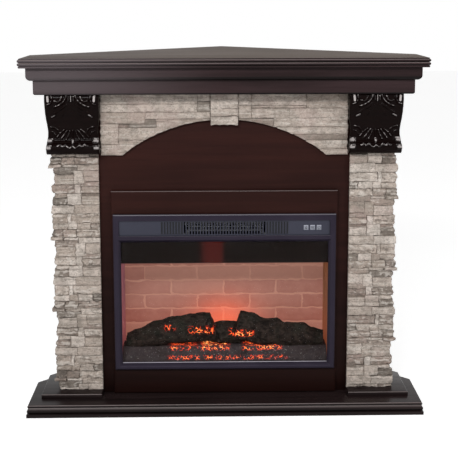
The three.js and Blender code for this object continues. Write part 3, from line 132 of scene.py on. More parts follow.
class Shader:
    """A material or node group in the making, with short calls for its nodes."""

    def __init__(self, tree):
        self.tree = tree

    def node(self, kind, **values):
        """A node; i0, i1 and so on name its inputs by number."""
        made = self.tree.nodes.new("ShaderNode" + kind)
        for name, value in values.items():
            if name[0] == "i" and name[1:].isdigit():
                self.put(made.inputs[int(name[1:])], value)
            elif hasattr(made, name):
                setattr(made, name, value)
            else:
                self.put(made.inputs[name.replace("_", " ")], value)
        return made

    def put(self, socket, value):
        if isinstance(value, bpy.types.NodeSocket):
            self.tree.links.new(value, socket)
        elif socket.type == "RGBA" and len(value) == 3:
            socket.default_value = (*value, 1)
        else:
            socket.default_value = value

    def fill(self, sockets, values):
        for label, value in values.items():
            self.put(sockets[label.replace("_", " ")], value)

    def math(self, operation, a, b=0.0, clamp=False):
        return self.node("Math", operation=operation, use_clamp=clamp, i0=a, i1=b).outputs[0]

    def joined(self, operation, values):
        total = values[0]
        for value in values[1:]:
            total = self.math(operation, total, value)
        return total

    def times(self, *values):
        return self.joined("MULTIPLY", values)

    def plus(self, *values):
        return self.joined("ADD", values)

    def most(self, *values):
        return self.joined("MAXIMUM", values)

    def mapped(self, vector, scale):
        return self.node("Mapping", Vector=vector, Scale=scale).outputs[0]

    def noise(self, vector, scale, detail=4, roughness=0.55, distortion=0.0):
        return self.node("TexNoise", Vector=vector, Scale=scale, Detail=detail,
                         Roughness=roughness, Distortion=distortion).outputs["Fac"]

    def range(self, value, low, high, new_low=0.0, new_high=1.0, kind="SMOOTHSTEP"):
        return self.node("MapRange", interpolation_type=kind, Value=value,
                         i1=low, i2=high, i3=new_low, i4=new_high).outputs[0]

    def mix(self, factor, a, b, blend="MIX"):
        return self.node("Mix", data_type="RGBA", blend_type=blend, i0=factor, i6=a, i7=b).outputs[2]

    def coats(self, colour, coats):
        """The colour under coats, each a mask and its own colour."""
        for mask, coat in coats:
            colour = self.mix(mask, colour, coat)
        return colour

    def split(self, vector):
        return self.node("SeparateXYZ", Vector=vector).outputs

    def ramp(self, factor, stops):
        made = self.node("ValToRGB", Fac=factor)
        elements = made.color_ramp.elements
        for place, colour in stops[1:-1]:
            elements.new(place).color = (*colour, 1)
        for end in (0, -1):
            elements[end].position, elements[end].color = stops[end][0], (*stops[end][1], 1)
        return made.outputs["Color"]

    def bump(self, height, strength, distance):
        return self.node("Bump", Height=height, Strength=strength, Distance=distance).outputs[0]

    def place(self):
        return self.node("TexCoord").outputs["Object"]

    def normal(self):
        return self.split(self.node("NewGeometry").outputs["Normal"])

    def attribute(self, name):
        return self.node("Attribute", attribute_name=name).outputs["Fac"]

    def seen(self):
        """1 for rays that show a surface to the camera, straight, mirrored or through glass."""
        path = self.node("LightPath").outputs
        return self.most(path["Is Camera Ray"], path["Is Glossy Ray"], path["Is Transmission Ray"])

    def use(self, name, **values):
        """Places a node group, with this material's own values."""
        made = self.node("Group")
        made.node_tree = group(name)
        self.fill(made.inputs, values)
        return made.outputs

    def feed(self, **values):
        self.fill(self.principled.inputs, values)
        return self.material

    def surface(self, made):
        """Ends the material in another shader node than its Principled."""
        self.tree.links.new(made.outputs[0], self.tree.nodes["Material Output"].inputs["Surface"])
        return self.material


def material(name, roughness, metallic=0.0, **sockets):
    """A material with its Principled shader; the sockets named here hold plain values."""
    made = bpy.data.materials.new(name)
    made.use_nodes = True
    s = Shader(made.node_tree)
    s.material, s.principled = made, made.node_tree.nodes["Principled BSDF"]
    s.feed(Roughness=roughness, Metallic=metallic, **sockets)
    return s


def group(name):
    """The shader node group of that name, made the first time it is asked for."""
    tree = bpy.data.node_groups.get(name)
    if tree is None:
        build, inputs = GROUPS[name]
        tree = bpy.data.node_groups.new(name, "ShaderNodeTree")
        for label, kind, value in [("Position", "Vector", (0, 0, 0)), *inputs]:
            socket = tree.interface.new_socket(
                label, in_out="INPUT", socket_type="NodeSocket" + kind)
            socket.default_value = value
        results = build(Shader(tree), tree.nodes.new("NodeGroupInput").outputs)
        for label in results:
            kind = "Color" if label == "Colour" else "Float"
            tree.interface.new_socket(label, in_out="OUTPUT", socket_type="NodeSocket" + kind)
        sink = tree.nodes.new("NodeGroupOutput")
        for label, value in results.items():
            tree.links.new(value, sink.inputs[label])
    return tree


# ---- shader groups


def wood_grain(s, source):
    """Fine straight grain: streaks along the stretched axis, with slow changes of tone."""
    streaks = s.noise(source["Position"], 1.0, 6, 0.6, 0.35)
    pores = s.noise(s.mapped(source["Position"], (3.1, 3.1, 3.1)), 1.0, 3, 0.7)
    tone = s.noise(source["Slow"], 1.0, 2, 0.5)
    level = s.range(s.plus(s.times(streaks, 0.62), s.times(tone, 0.38)), 0.36, 0.64)
    pore = s.range(pores, 0.30, 0.46)
    colour = s.mix(level, source["Dark"], source["Light"])
    colour = s.mix(s.times(s.math("SUBTRACT", 1.0, pore), 0.45), colour, source["Dark"])
    return {"Colour": colour, "Height": s.plus(pore, s.times(streaks, 0.6)),
            "Roughness": s.range(level, 0.0, 1.0, 0.05, -0.04)}


def split_stone(s, source):
    """Layered split stone: a tone per stone, clouds, thin light and dark beds, fine speckle, painted shade
    in the hollows of its relief and a painted highlight on its proud parts.
    """
    place, relief = source["Position"], source["Relief"]
    clouds = s.range(s.noise(place, 30.0, 4, 0.6), 0.42, 0.62)
    patches = s.range(s.noise(s.mapped(place, (95, 95, 140)), 1.0, 5, 0.72, 0.8), 0.47, 0.58)
    beds = s.noise(s.mapped(place, (9, 9, 120)), 1.0, 5, 0.62, 0.9)
    speckle = s.noise(place, 240.0, 4, 0.78)
    warm = s.range(s.noise(place, 13.0, 3, 0.5), 0.52, 0.68)
    base = s.ramp(source["Tone"], [
        (0.0, (0.115, 0.092, 0.076)), (0.18, (0.195, 0.160, 0.131)), (0.32, (0.295, 0.220, 0.185)),
        (0.45, (0.375, 0.305, 0.255)), (0.60, (0.495, 0.415, 0.358)), (0.78, (0.60, 0.52, 0.46)),
        (1.0, (0.70, 0.625, 0.565))])
    colour = s.coats(base, [
        (s.times(clouds, 0.55), (0.29, 0.25, 0.215)),
        (s.range(beds, 0.50, 0.66, 0.0, 0.55), (0.66, 0.60, 0.54)),
        (s.times(patches, 0.46), (0.16, 0.135, 0.11)),
        (s.times(warm, 0.30), (0.47, 0.345, 0.31)),
        (s.range(beds, 0.42, 0.33, 0.0, 0.45), (0.10, 0.085, 0.07)),
        (s.range(speckle, 0.46, 0.33, 0.0, 0.72), (0.11, 0.095, 0.08)),
        (s.range(speckle, 0.60, 0.72, 0.0, 0.45), (0.80, 0.76, 0.71)),
        # Painted shade in the hollows of the relief, then a painted highlight on its proud parts.
        (s.range(relief, -0.5, -2.0, 0.0, 0.60), (0.105, 0.086, 0.072)),
        (s.range(relief, 0.6, 1.8, 0.0, 0.40), (0.74, 0.68, 0.62))])
    height = s.plus(s.times(beds, 0.8), s.times(speckle, 0.25),
                    s.times(s.noise(place, 150.0, 4, 0.65), 0.7))
    return {"Colour": colour, "Height": height, "Roughness": s.range(clouds, 0.0, 1.0, 0.80, 0.94)}


def scuff_marks(s, source):
    """Faint handling marks and dust for moulded and sheet parts: a mask and a height."""
    cloud = s.range(s.noise(source["Position"], 9.0, 4, 0.6), 0.40, 0.75)
    fine = s.noise(source["Position"], source["Grain"], 3, 0.6)
    return {"Mask": s.plus(s.times(cloud, 0.6), s.times(fine, 0.4)), "Height": fine}


def char(s, source):
    """Charred wood or coal: bark ridges, ash on top, and the mask of its glowing cracks."""
    place = source["Position"]
    bark = s.noise(place, 60.0, 6, 0.65, 0.8)
    patches = s.noise(place, 22.0, 3, 0.5)
    ash = s.range(s.noise(place, 210.0, 4, 0.7), 0.60, 0.72)
    base = s.mix(s.range(bark, 0.35, 0.70), (0.006, 0.0040, 0.003), (0.036, 0.024, 0.019))
    colour = s.coats(base, [
        (s.range(patches, 0.45, 0.72, 0.0, 0.55), (0.018, 0.021, 0.015)),
        (s.times(source["Dust"], patches), (0.078, 0.062, 0.068)),
        (s.times(ash, source["Ash"]), (0.30, 0.29, 0.28))])
    cells = s.node("TexVoronoi", feature="DISTANCE_TO_EDGE", Vector=place,
                   Scale=source["Crack scale"]).outputs["Distance"]
    crack = s.times(s.range(cells, 0.13, 0.02), s.range(s.noise(place, 75.0, 3, 0.6), 0.42, 0.62))
    return {"Colour": colour, "Height": bark, "Crack": crack}


# What builds each group, and its inputs besides Position.
GROUPS = {
    "Wood grain": (wood_grain, [("Slow", "Vector", (0, 0, 0)), ("Dark", "Color", (0, 0, 0, 1)),
                                ("Light", "Color", (1, 1, 1, 1))]),
    "Split stone": (split_stone, [("Tone", "Float", 0.5), ("Relief", "Float", 0.0)]),
    "Scuffs": (scuff_marks, [("Grain", "Float", 900.0)]),
    "Charred": (char, [("Ash", "Float", 0.4), ("Dust", "Float", 0.0),
                       ("Crack scale", "Float", 60.0)]),
}


# ---- materials


def painted_highlight(s, colour, edge, highlight_amount=0.85):
    """The colour with a painted highlight: lighter on arrises that face up and forward."""
    _, y, z = s.normal()
    mask = s.times(s.range(z, 0.34, 0.56), s.range(z, 0.94, 0.80), s.range(y, -0.12, -0.34), highlight_amount)
    return s.mix(mask, colour, edge)


def wood_material(name, axis, light="light", dark="dark", roughness=None, specular=0.10, sink=1.0,
                  painted_sheen=(0.108, 0.090, 0.095)):
    """Stained wood with its grain along an axis, with painted shade in the coves, a painted sheen at the
    left end and painted highlights on arrises that face up and forward.

    Its tones are colours or names of settings, and sink is what is left of them near the floor: painted
    shade, darker towards the floor."""
    wood = bpy.context.scene.fireplace_wood
    light, dark = (getattr(wood, t) if isinstance(t, str) else t for t in (light, dark))
    gloss = wood.gloss if roughness is None else roughness
    scale = [34.0, 34.0, 34.0]
    scale["xyz".index(axis)] = 1.3
    s = material(name, gloss, Specular_IOR_Level=specular)
    place = s.place()
    x, _, z = s.split(place)
    grain = s.use("Wood grain", Position=s.mapped(place, scale),
                  Slow=s.mapped(place, (2.3, 2.3, 2.3)), Dark=dark, Light=light)
    # Painted shade: near-black where the surface faces down, in coves and undersides.
    painted_cove_shade = s.range(s.normal()[2], 0.0, -0.42, 0.0, 0.95)
    colour = s.mix(painted_cove_shade, grain["Colour"], (0.003, 0.0016, 0.0015))
    # Painted sheen: the upper runs are lightened towards the left end.
    if axis != "z":
        sheen_mask = s.range(x, 0.02, -0.50, 0.0, 0.75)
        colour = s.mix(s.times(sheen_mask, s.range(z, 0.88, 0.92)), colour, painted_sheen)
    # Painted shade: sink darkens the colour towards the floor.
    if sink < 1.0:
        colour = s.mix(s.range(z, 0.22, 0.66, sink, 1.0), (0.0, 0.0, 0.0), colour)
    # Painted highlight on arrises that face up and forward.
    return s.feed(Base_Color=painted_highlight(s, colour, (0.20, 0.165, 0.16)),
                  Roughness=s.plus(grain["Roughness"], gloss),
                  Normal=s.bump(grain["Height"], 0.10, 0.0006))


def bare_wood_material():
    s = material("Raw board", 0.75)
    place = s.place()
    grain = s.use("Wood grain", Position=s.mapped(place, (60, 60, 9)), Dark=(0.26, 0.165, 0.09),
                  Slow=s.mapped(place, (5, 5, 5)), Light=(0.50, 0.36, 0.22))
    return s.feed(Base_Color=grain["Colour"], Roughness=s.plus(grain["Roughness"], 0.75),
                  Normal=s.bump(grain["Height"], 0.3, 0.0006))


def stone_material():
    s = material("Ledge stone", 0.88)
    stone = s.use("Split stone", Position=s.place(), Tone=s.attribute("tone"),
                  Relief=s.attribute("relief"))
    return s.feed(Base_Color=stone["Colour"], Roughness=stone["Roughness"],
                  Normal=s.bump(stone["Height"], 0.75, 0.0016))


def painted_metal(name, colour, roughness, metallic, grain, specular=0.5, highlight_from=0.0):
    """Paint, plastic or plating with faint scuffs, and a painted highlight on its arrises above a height.
    """
    s = material(name, roughness, metallic, Specular_IOR_Level=specular)
    place = s.place()
    scuffs = s.use("Scuffs", Position=place, Grain=grain)
    lighter = [min(1.0, channel * 1.22 + 0.004) for channel in colour]
    # The painted highlight's colour, and its strength above the given height.
    edge = [min(1.0, channel * 2.0 + 0.16) for channel in colour]
    highlight_amount = s.range(s.split(place)[2], highlight_from, highlight_from + 0.004, 0.0, 0.85)
    return s.feed(
        Base_Color=painted_highlight(s, s.mix(scuffs["Mask"], colour, lighter), edge, highlight_amount),
        Roughness=s.range(scuffs["Mask"], 0.2, 0.8, roughness - 0.05, roughness + 0.07),
        Normal=s.bump(scuffs["Height"], 0.12, 0.0002))


def corbel_material():
    """Lacquered carving with a painted highlight on the crests of its relief."""
    s = material("Lacquered carving", 0.2, Specular_IOR_Level=0.04)
    place, relief = s.place(), s.attribute("relief")
    # Painted highlight: patchy pale glints on crests that face up, and on all the highest crests.
    patchy = s.range(s.noise(place, 150.0, 2, 0.5), 0.47, 0.60, 0.08, 0.9)
    painted_crest_highlight = s.times(s.range(relief, 1.8, 3.8), s.range(s.normal()[2], 0.05, 0.55), patchy)
    painted_crest_highlight = s.most(painted_crest_highlight, s.range(relief, 5.2, 6.6))
    scuffs = s.use("Scuffs", Position=place, Grain=420.0)
    tone = s.noise(place, 40.0, 4, 0.6)
    colour = s.mix(tone, (0.0032, 0.0014, 0.0012), (0.0072, 0.0030, 0.0026))
    return s.feed(Base_Color=s.mix(painted_crest_highlight, colour, (0.46, 0.42, 0.41)),
                  Roughness=s.range(scuffs["Mask"], 0.2, 0.8, 0.15, 0.22),
                  Normal=s.bump(scuffs["Height"], 0.08, 0.0003))


def strip_material():
    """The outlet strip: painted shade makes its grooves and slots darker than its face."""
    s = material("Outlet strip", 0.38, 0.25, Specular_IOR_Level=0.3)
    place = s.place()
    scuffs = s.use("Scuffs", Position=place, Grain=1100.0)
    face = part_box("outlet_grille")[0].y
    # Painted shade: darker behind the strip's face, in its grooves and slots.
    painted_groove_shade = s.range(s.split(place)[1], face + 0.0003, face + 0.0011)
    colour = s.mix(scuffs["Mask"], (0.026, 0.027, 0.043), (0.036, 0.037, 0.056))
    return s.feed(Base_Color=s.mix(painted_groove_shade, colour, (0.007, 0.007, 0.010)),
                  Normal=s.bump(scuffs["Height"], 0.12, 0.0002))


def hood_material():
    """Black apron with a painted reflection of the flame: a warm streak that glows on its gloss."""
    s = material("Black apron", 0.28, Specular_IOR_Level=0.08, Emission_Strength=1.0)
    place = s.place()
    scuffs = s.use("Scuffs", Position=place, Grain=700.0)
    x = s.split(place)[0]
    # Painted reflection: a warm band of emission where the flame's glow would be mirrored.
    painted_flame_reflection = s.times(s.range(x, -0.078, -0.046), s.range(x, 0.004, -0.016))
    return s.feed(
        Base_Color=s.mix(scuffs["Mask"], (0.0040, 0.0020, 0.0014), (0.0062, 0.0032, 0.0024)),
        Emission_Color=s.mix(painted_flame_reflection, (0.0, 0.0, 0.0), (0.052, 0.0045, 0.0035)),
        Normal=s.bump(scuffs["Height"], 0.12, 0.0002))


def glass_material():
    """Clear pane; light and shadow pass it unbent, so that the firebox is lit through it."""
    s = material("Pane", 0.0, Transmission_Weight=1.0, IOR=1.02, Base_Color=(1, 1, 1))
    s.feed(Roughness=s.range(s.noise(s.place(), 14.0, 3, 0.5), 0.5, 0.9, 0.0, 0.02))
    path = s.node("LightPath").outputs
    pass_by = s.most(path["Is Shadow Ray"], path["Is Diffuse Ray"])
    clear = s.node("BsdfTransparent").outputs[0]
    return s.surface(s.node("MixShader", Fac=pass_by, i1=s.principled.outputs[0], i2=clear))


def brick_material():
    """Moulded brick slips with painted light: their emission paints the lamp's light from below and the
    flame's glow behind the logs.
    """
    fire = bpy.context.scene.fireplace_fire
    mortar, liner, soft = (0.37, 0.185, 0.135), 0.2915, 0.002
    s = material("Brick slips", 0.85, Emission_Strength=1.0)
    place = s.place()
    x, _, z = s.split(place)
    cloud = s.range(s.noise(place, 45.0, 5, 0.6), 0.3, 0.7)
    grit = s.noise(place, 600.0, 3, 0.7)
    base = s.ramp(s.attribute("tone"), [
        (0.0, mortar), (0.10, mortar), (0.12, (0.225, 0.085, 0.065)), (0.55, (0.27, 0.115, 0.088)),
        (1.0, (0.32, 0.155, 0.115))])
    brick = s.coats(base, [
        (s.times(cloud, 0.35), (0.33, 0.16, 0.12)),
        (s.range(grit, 0.42, 0.28, 0.0, 0.4), (0.10, 0.04, 0.03)),
        # Painted shade: the side liners are darker than the rear wall, the right one browner and the left
        # one pinker.
        (s.range(x, liner, liner + soft), (0.145, 0.052, 0.020)),
        (s.range(x, -liner, -liner - soft), (0.20, 0.070, 0.085))])
    across = s.math("DIVIDE", x, 0.085)
    up = s.math("DIVIDE", s.math("SUBTRACT", z, 0.215), 0.062)
    spread = s.plus(s.times(across, across), s.times(up, up))
    flame = s.math("POWER", 2.718, s.times(spread, -0.8))
    # Painted glow: the lower courses and a flame-shaped patch behind the logs take the glow's colour.
    lit = s.coats(brick, [(s.times(s.range(z, 0.33, 0.19), 0.16), fire.glow),
                          (s.math("MULTIPLY", flame, 0.95, True), fire.glow)])
    # Painted light: emission from the flame patch, the even brick light and a lift of the top courses
    # under the hood.
    strength = s.plus(s.times(flame, 0.30), fire.screen, s.range(z, 0.325, 0.395, 0.0, 0.20))
    grey = s.node("CombineXYZ", i0=strength, i1=strength, i2=strength).outputs[0]
    return s.feed(Base_Color=brick, Emission_Color=s.mix(1.0, lit, grey, "MULTIPLY"),
                  Normal=s.bump(s.plus(cloud, s.times(grit, 0.4)), 0.4, 0.001))


def charred_material(name, ash, dust, crack_scale, rows):
    """Charred resin whose cracks glow in rows: [x from, x to, z from, z to, strength]."""
    s = material(name, 0.85, Specular_IOR_Level=0.12,
                 Emission_Strength=bpy.context.scene.fireplace_fire.ember)
    place = s.place()
    burnt = s.use("Charred", Position=place, Ash=ash, Dust=dust, Crack_scale=crack_scale)
    x, _, z = s.split(place)

    def between(value, low, high, soft):
        return s.times(s.range(value, low - soft, low + soft),
                       s.range(value, high + soft, high - soft))

    lit = s.plus(*[s.times(between(x, x0, x1, 0.01), between(z, z0, z1, 0.004), strength)
                   for x0, x1, z0, z1, strength in rows])
    heat = s.math("MINIMUM", s.times(lit, burnt["Crack"]), 1.0)
    glow = s.ramp(heat, [(0.0, (0.0, 0.0, 0.0)), (0.15, (0.30, 0.012, 0.003)),
                         (0.45, (1.0, 0.085, 0.012)), (0.8, (1.0, 0.30, 0.05)),
                         (1.0, (1.0, 0.58, 0.20))])
    return s.feed(Base_Color=burnt["Colour"], Emission_Color=glow,
                  Normal=s.bump(burnt["Height"], 0.9, 0.0025))


def board_material():
    s = material("Circuit board", 0.45)
    tracks = s.node("TexVoronoi", distance="MANHATTAN", feature="F1", Vector=s.place(),
                    Scale=160.0).outputs["Distance"]
    colour = s.mix(s.range(tracks, 0.42, 0.50), (0.012, 0.075, 0.028), (0.03, 0.15, 0.05))
    return s.feed(Base_Color=colour, Normal=s.bump(tracks, 0.2, 0.0002))


MATERIALS = {}
# The maker of each finish and its values: for wood the grain's axis, tones, roughness, specular
# level, sink (painted shade towards the floor) and painted sheen; for paint the colour, roughness,
# metallic, grain, specular level and the height above which arrises get a painted highlight.
FINISHES = {
    "wood_x": (wood_material, "Stained wood, grain across", "x"),
    "wood_y": (wood_material, "Stained wood, grain to the wall", "y"),
    "wood_z": (wood_material, "Stained wood, upright grain", "z"),
    # The front panels' sink of 0.42 paints shade that darkens them towards the floor.
    "wood_panel": (wood_material, "Front panels", "x", "panel", (0.020, 0.0072, 0.0060),
                   0.42, 0.05, 0.42),
    # The shelf top is painted lighter than the rest of the wood, as the sheen of its lit top; its last
    # tone is its painted sheen at the left end.
    "wood_top": (wood_material, "Shelf top", "x", (0.092, 0.064, 0.048), (0.062, 0.043, 0.032),
                 0.62, 0.2, 1.0, (0.070, 0.052, 0.046)),
    "wood_base": (wood_material, "Base wood", "x", (0.022, 0.0135, 0.0135),
                  (0.009, 0.0054, 0.0054)),
    "bare_wood": (bare_wood_material,),
    "stone": (stone_material,),
    "corbel": (corbel_material,),
    "graphite": (painted_metal, "Graphite frame", (0.0165, 0.0120, 0.0230), 0.36, 0.3, 1100.0,
                 0.16, 0.13),
    "strip": (strip_material,),
    "hood": (hood_material,),
    "liner_black": (painted_metal, "Black casing", (0.012, 0.012, 0.013), 0.5, 0.2, 700.0),
    # The glazing bead's pale paint is a painted highlight along the window's lower edge.
    "bead": (painted_metal, "Glazing bead", (0.36, 0.34, 0.39), 0.35, 0.0, 900.0),
    "zinc": (painted_metal, "Zinc sheet", (0.42, 0.44, 0.46), 0.42, 0.85, 300.0),
    "aluminium": (painted_metal, "Bright metal", (0.62, 0.63, 0.64), 0.28, 0.9, 500.0),
    "plastic": (painted_metal, "Black plastic", (0.012, 0.012, 0.013), 0.45, 0.0, 1500.0),
    "button": (painted_metal, "Button cap", (0.21, 0.22, 0.26), 0.42, 0.0, 1500.0),
    "ceramic": (painted_metal, "Heater frame", (0.085, 0.085, 0.09), 0.6, 0.0, 500.0),
    "mark": (painted_metal, "Button mark", (0.022, 0.022, 0.030), 0.5, 0.0, 1500.0),
    "glass": (glass_material,),
    "brick": (brick_material,),
    "log": (charred_material, "Charred log", 0.30, 0.0, 95.0, [
        (-0.168, -0.148, 0.214, 0.228, 1.3), (-0.100, -0.034, 0.203, 0.226, 1.1),
        (0.018, 0.078, 0.196, 0.214, 1.4)]),
    "ember": (charred_material, "Ember bed", 1.0, 0.8, 130.0, [
        (-0.165, 0.175, 0.1325, 0.1405, 0.8), (-0.160, -0.080, 0.1555, 0.1645, 0.95),
        (-0.065, 0.010, 0.1545, 0.1665, 1.3), (0.055, 0.160, 0.1550, 0.1655, 1.1)]),
    "board": (board_material,),
}


def finish_of(name):
    """The material of that name, made the first time it is asked for."""
    if name not in MATERIALS:
        maker, *values = FINISHES[name]
        MATERIALS[name] = maker(*values)
    return MATERIALS[name]


def dress(names, finish):
    """Gives CAD nodes their material."""
    for name in names.split():
        data = NODES[name].data
        data.materials.clear()
        data.materials.append(finish_of(finish))


# ---- mesh kit


def piece(name, bm, finish, replaced=(), body="fireplace", smooth=35.0):
    """Turns a bmesh into a finished piece that rides on its body."""
    bmesh.ops.recalc_face_normals(bm, faces=bm.faces[:])
    data = bpy.data.meshes.new(name)
    bm.to_mesh(data)
    bm.free()
    data.shade_smooth()
    data.set_sharp_from_angle(angle=math.radians(smooth))
    data.materials.append(finish_of(finish))
    made = bpy.data.objects.new(name, data)
    bpy.context.scene.collection.objects.link(made)
    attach(made, body)
    if replaced:
        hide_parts(*replaced)
    return made


def closed_stack(rings):
    """A closed bmesh through rings of points, bridged one to the next and capped."""
    bm = bmesh.new()
    loops = []
    for ring in rings:
        corners = [bm.verts.new(point) for point in ring]
        loops.append([bm.edges.new(ends) for ends in zip(corners, corners[1:] + corners[:1])])
    for low, high in zip(loops, loops[1:]):
        bmesh.ops.bridge_loops(bm, edges=low + high)
    for loop in (loops[0], loops[-1]):
        bmesh.ops.contextual_create(bm, geom=loop)
    return bm


def rim_of(bm):
    return [edge for edge in bm.edges if edge.is_boundary]


def close_to(bm, axis, level, layer=None):
    """Draws the open rim to a plane and closes it there."""
    for item in bmesh.ops.extrude_edge_only(bm, edges=rim_of(bm))["geom"]:
        if isinstance(item, bmesh.types.BMVert):
            item.co[axis] = level
            if layer:
                item[layer] = 0.0
    bmesh.ops.holes_fill(bm, edges=rim_of(bm))


def arc(u, v, radius, start, end, steps):
    """Points of an arc between two angles in degrees."""
    angles = [math.radians(start + (end - start) * i / steps) for i in range(steps + 1)]
    return [(u + radius * math.cos(a), v + radius * math.sin(a)) for a in angles]


def cell_block(counts, place):
    """A closed block cut into counts cells, whose corners go where place() puts them."""
    bm = bmesh.new()
    bmesh.ops.create_cube(bm, size=1.0)
    for axis in range(3):
        if counts[axis] > 1:
            along = [edge for edge in bm.edges
                     if abs((edge.verts[0].co - edge.verts[1].co).normalized()[axis]) > 0.5]
            bmesh.ops.subdivide_edges(bm, edges=along, cuts=counts[axis] - 1, use_grid_fill=True)
    half = Vector((0.5, 0.5, 0.5))
    layer = bm.verts.layers.float.new("relief")
    for vert in bm.verts:
        spot = place(vert.co + half)
        vert.co, vert[layer] = spot if isinstance(spot, tuple) else (spot, 0.0)
    return bm


def add_to(target, bm, tone):
    """Moves a block into a larger bmesh, with its tone on every vertex."""
    layer = bm.verts.layers.float.new("tone")
    for vert in bm.verts:
        vert[layer] = tone
    data = bpy.data.meshes.new("block")
    bm.to_mesh(data)
    bm.free()
    target.from_mesh(data)
    bpy.data.meshes.remove(data)


def toned():
    """An empty bmesh for blocks with a tone and a relief."""
    bm = bmesh.new()
    for name in ("tone", "relief"):
        bm.verts.layers.float.new(name)
    return bm


def softened(node, finish, width):
    """A copy of a CAD node with its sharp arrises rounded."""
    source = NODES[node]
    bm = bmesh.new()
    bm.from_mesh(source.data)
    bmesh.ops.transform(bm, matrix=source.matrix_world, verts=bm.verts)
    bmesh.ops.remove_doubles(bm, verts=bm.verts, dist=1e-6)
    bmesh.ops.dissolve_limit(bm, angle_limit=math.radians(1), verts=bm.verts, edges=bm.edges)
    arrises = [edge for edge in bm.edges
               if edge.is_manifold and edge.calc_face_angle() > math.radians(40)]
    bmesh.ops.bevel(bm, geom=arrises, offset=width, offset_type="OFFSET", segments=3, profile=0.5,
                    affect="EDGES", material=-1, clamp_overlap=True)
    return piece(f"{node}_rounded", bm, finish, replaced=[node])


# ---- mantel: mouldings


def plan_stack(edge):
    """The whole plan through levels: [set back along the front and the sides, height]."""
    rings = []
    for back, z in edge:
        side = HALF - back
        outline = [(-side, back), (side, back), (side, WALL_SUM - side), (5, WALL_SUM - 5),
                   (-5, WALL_SUM - 5), (-side, WALL_SUM - side)]
        rings.append([at(x, depth, z) for x, depth in outline])
    return closed_stack(rings)


class FIREPLACE_OT_mouldings(bpy.types.Operator):
    """Shelf, cornice, frieze and base with their full moulded profiles"""
    bl_idname = "fireplace.mouldings"
    bl_label = "Mouldings"

    def execute(self, context):
        self.base()
        self.shelf()
        self.runs()
        return {"FINISHED"}

    def base(self):
        top, band, lip = 36.0, 10.0, 7.0
        edge = [(0.5, 0.0), (0.0, 0.5), (0.0, band - 1.5), (0.4, band - 0.5), (1.5, band)]
        edge += arc(lip + 2.5, band + 9, 8, 255, 182, 10) + [(lip - 4.5, top - 14)]
        edge += arc(lip + 1, top - 4.5, 4.5, 240, 120, 14) + [(lip + 1.2, top)]
        piece("base_moulded_slab", plan_stack(edge), "wood_base", ["base_slab"])

    def shelf(self):
        foot, top, r, back = SHELF_FOOT, SHELF_TOP, 4.2, 9.2
        lower = foot + 6 + r
        upper = lower + 2 * r + 0.6
        edge = [(back, foot), (back - 1.5, foot + 0.5), (back - 2, foot + 1.5), (back - 2, foot + 5),
                (back - 0.6, foot + 5.6)]
        edge += arc(back, lower, r, 270, 90, 16) + arc(back, upper, r, 270, 90, 16)
        edge += [(back - 1, upper + r + 0.4), (back - 1, top - 0.8), (back - 0.8, top - 0.3),
                 (back, top)]
        made = piece("shelf_moulded_top", plan_stack(edge), "wood_x", ["shelf_top"])
        # The flat top takes the lighter finish, painted as the sheen of the lit top.
        made.data.materials.append(finish_of("wood_top"))
        for face in made.data.polygons:
            if face.normal.z > 0.9 and face.center.z > top * MM - 1e-5:
                face.material_index = 1

    def runs(self):
        foot = SHELF_FOOT
        cornice = [(40, foot), (23.6, foot), (23.6, 953)]
        cornice += arc(36.6, 952, 13, 186, 262, 12) + [(38, 939), (40, 939)]
        frieze = [(56, foot), (40, foot), (40, 907)]
        frieze += arc(46, 906, 6, 184, 266, 8) + [(47, HEADER_TOP), (56, HEADER_TOP)]
        for label, node, section in (("cornice", "cornice_moulding", cornice),
                                     ("frieze", "frieze_board", frieze)):

            def end(sign, rear=False):
                return [at(sign * (HALF - s), RUN_SUM - (HALF - s) if rear else s, z)
                        for s, z in section]

            for side, finish, ends in (("front", "wood_x", [end(-1), end(1)]),
                                       ("left", "wood_y", [end(-1), end(-1, True)]),
                                       ("right", "wood_y", [end(1), end(1, True)])):
                piece(f"{label}_run_{side}", closed_stack(ends), finish,
                      [f"{node}_{side}"])


# ---- mantel: ledge stone

# Stones of one cast panel: [inner end, outer end, top, bottom, proud, tone, roughness].
PANEL = 206.5  # height of the panel
PANEL_STONES = [
    (0, 50, 6, 32, 4.0, 0.62, 0.5), (0, 70.5, 32, 57, 6.0, 0.70, 0.4),
    (0, 80, 57, 84, 1.5, 0.52, 1.3), (25.5, 64, 84, 104, 4.5, 0.66, 0.6),
    (0, 25.5, 84, 104, 0.0, 0.10, 1.5), (0, 66, 104, 126, 2.0, 0.40, 1.4),
    (0, 60, 126, 142, 3.5, 0.55, 0.9), (0, 42, 142, 173, 5.0, 0.63, 0.5),
    (0, 51, 173, 187, 3.0, 0.34, 0.9), (0, 51, 187, 206.5, 1.5, 0.45, 1.3),
    (50, 89, 0, 32, 6.5, 0.80, 0.5), (80, 90, 57, 87, 5.0, 0.85, 0.3),
    (64, 89, 84, 104, 3.0, 0.60, 0.8), (66, 104, 104, 126, 4.0, 0.36, 1.2),
    (60, 104, 126, 134, 1.0, 0.72, 0.7), (42, 69.5, 142, 181, 4.0, 0.68, 0.5),
    (51, 68, 181, 206.5, 6.0, 0.84, 0.4), (89, 127, 0, 11.5, 3.0, 0.50, 1.0),
    (89, 134, 11.5, 34, 0.5, 0.08, 1.6), (70.5, 136.5, 34, 57, 5.5, 0.74, 0.5),
    (90, 134, 57, 87, 2.5, 0.46, 1.3), (89, 134, 87, 104, 1.5, 0.60, 0.9),
    (104, 136.5, 104, 125, 0.0, 0.06, 1.6), (104, 141, 125, 134, 6.0, 0.50, 1.0),
    (60, 129.5, 134, 153, 2.0, 0.22, 1.2), (69.5, 126, 153, 181, 4.5, 0.70, 0.7),
    (68, 132, 181, 206.5, 1.5, 0.42, 1.5),
]
TURN = 470.0  # from the middle to where a column's stones turn its corner
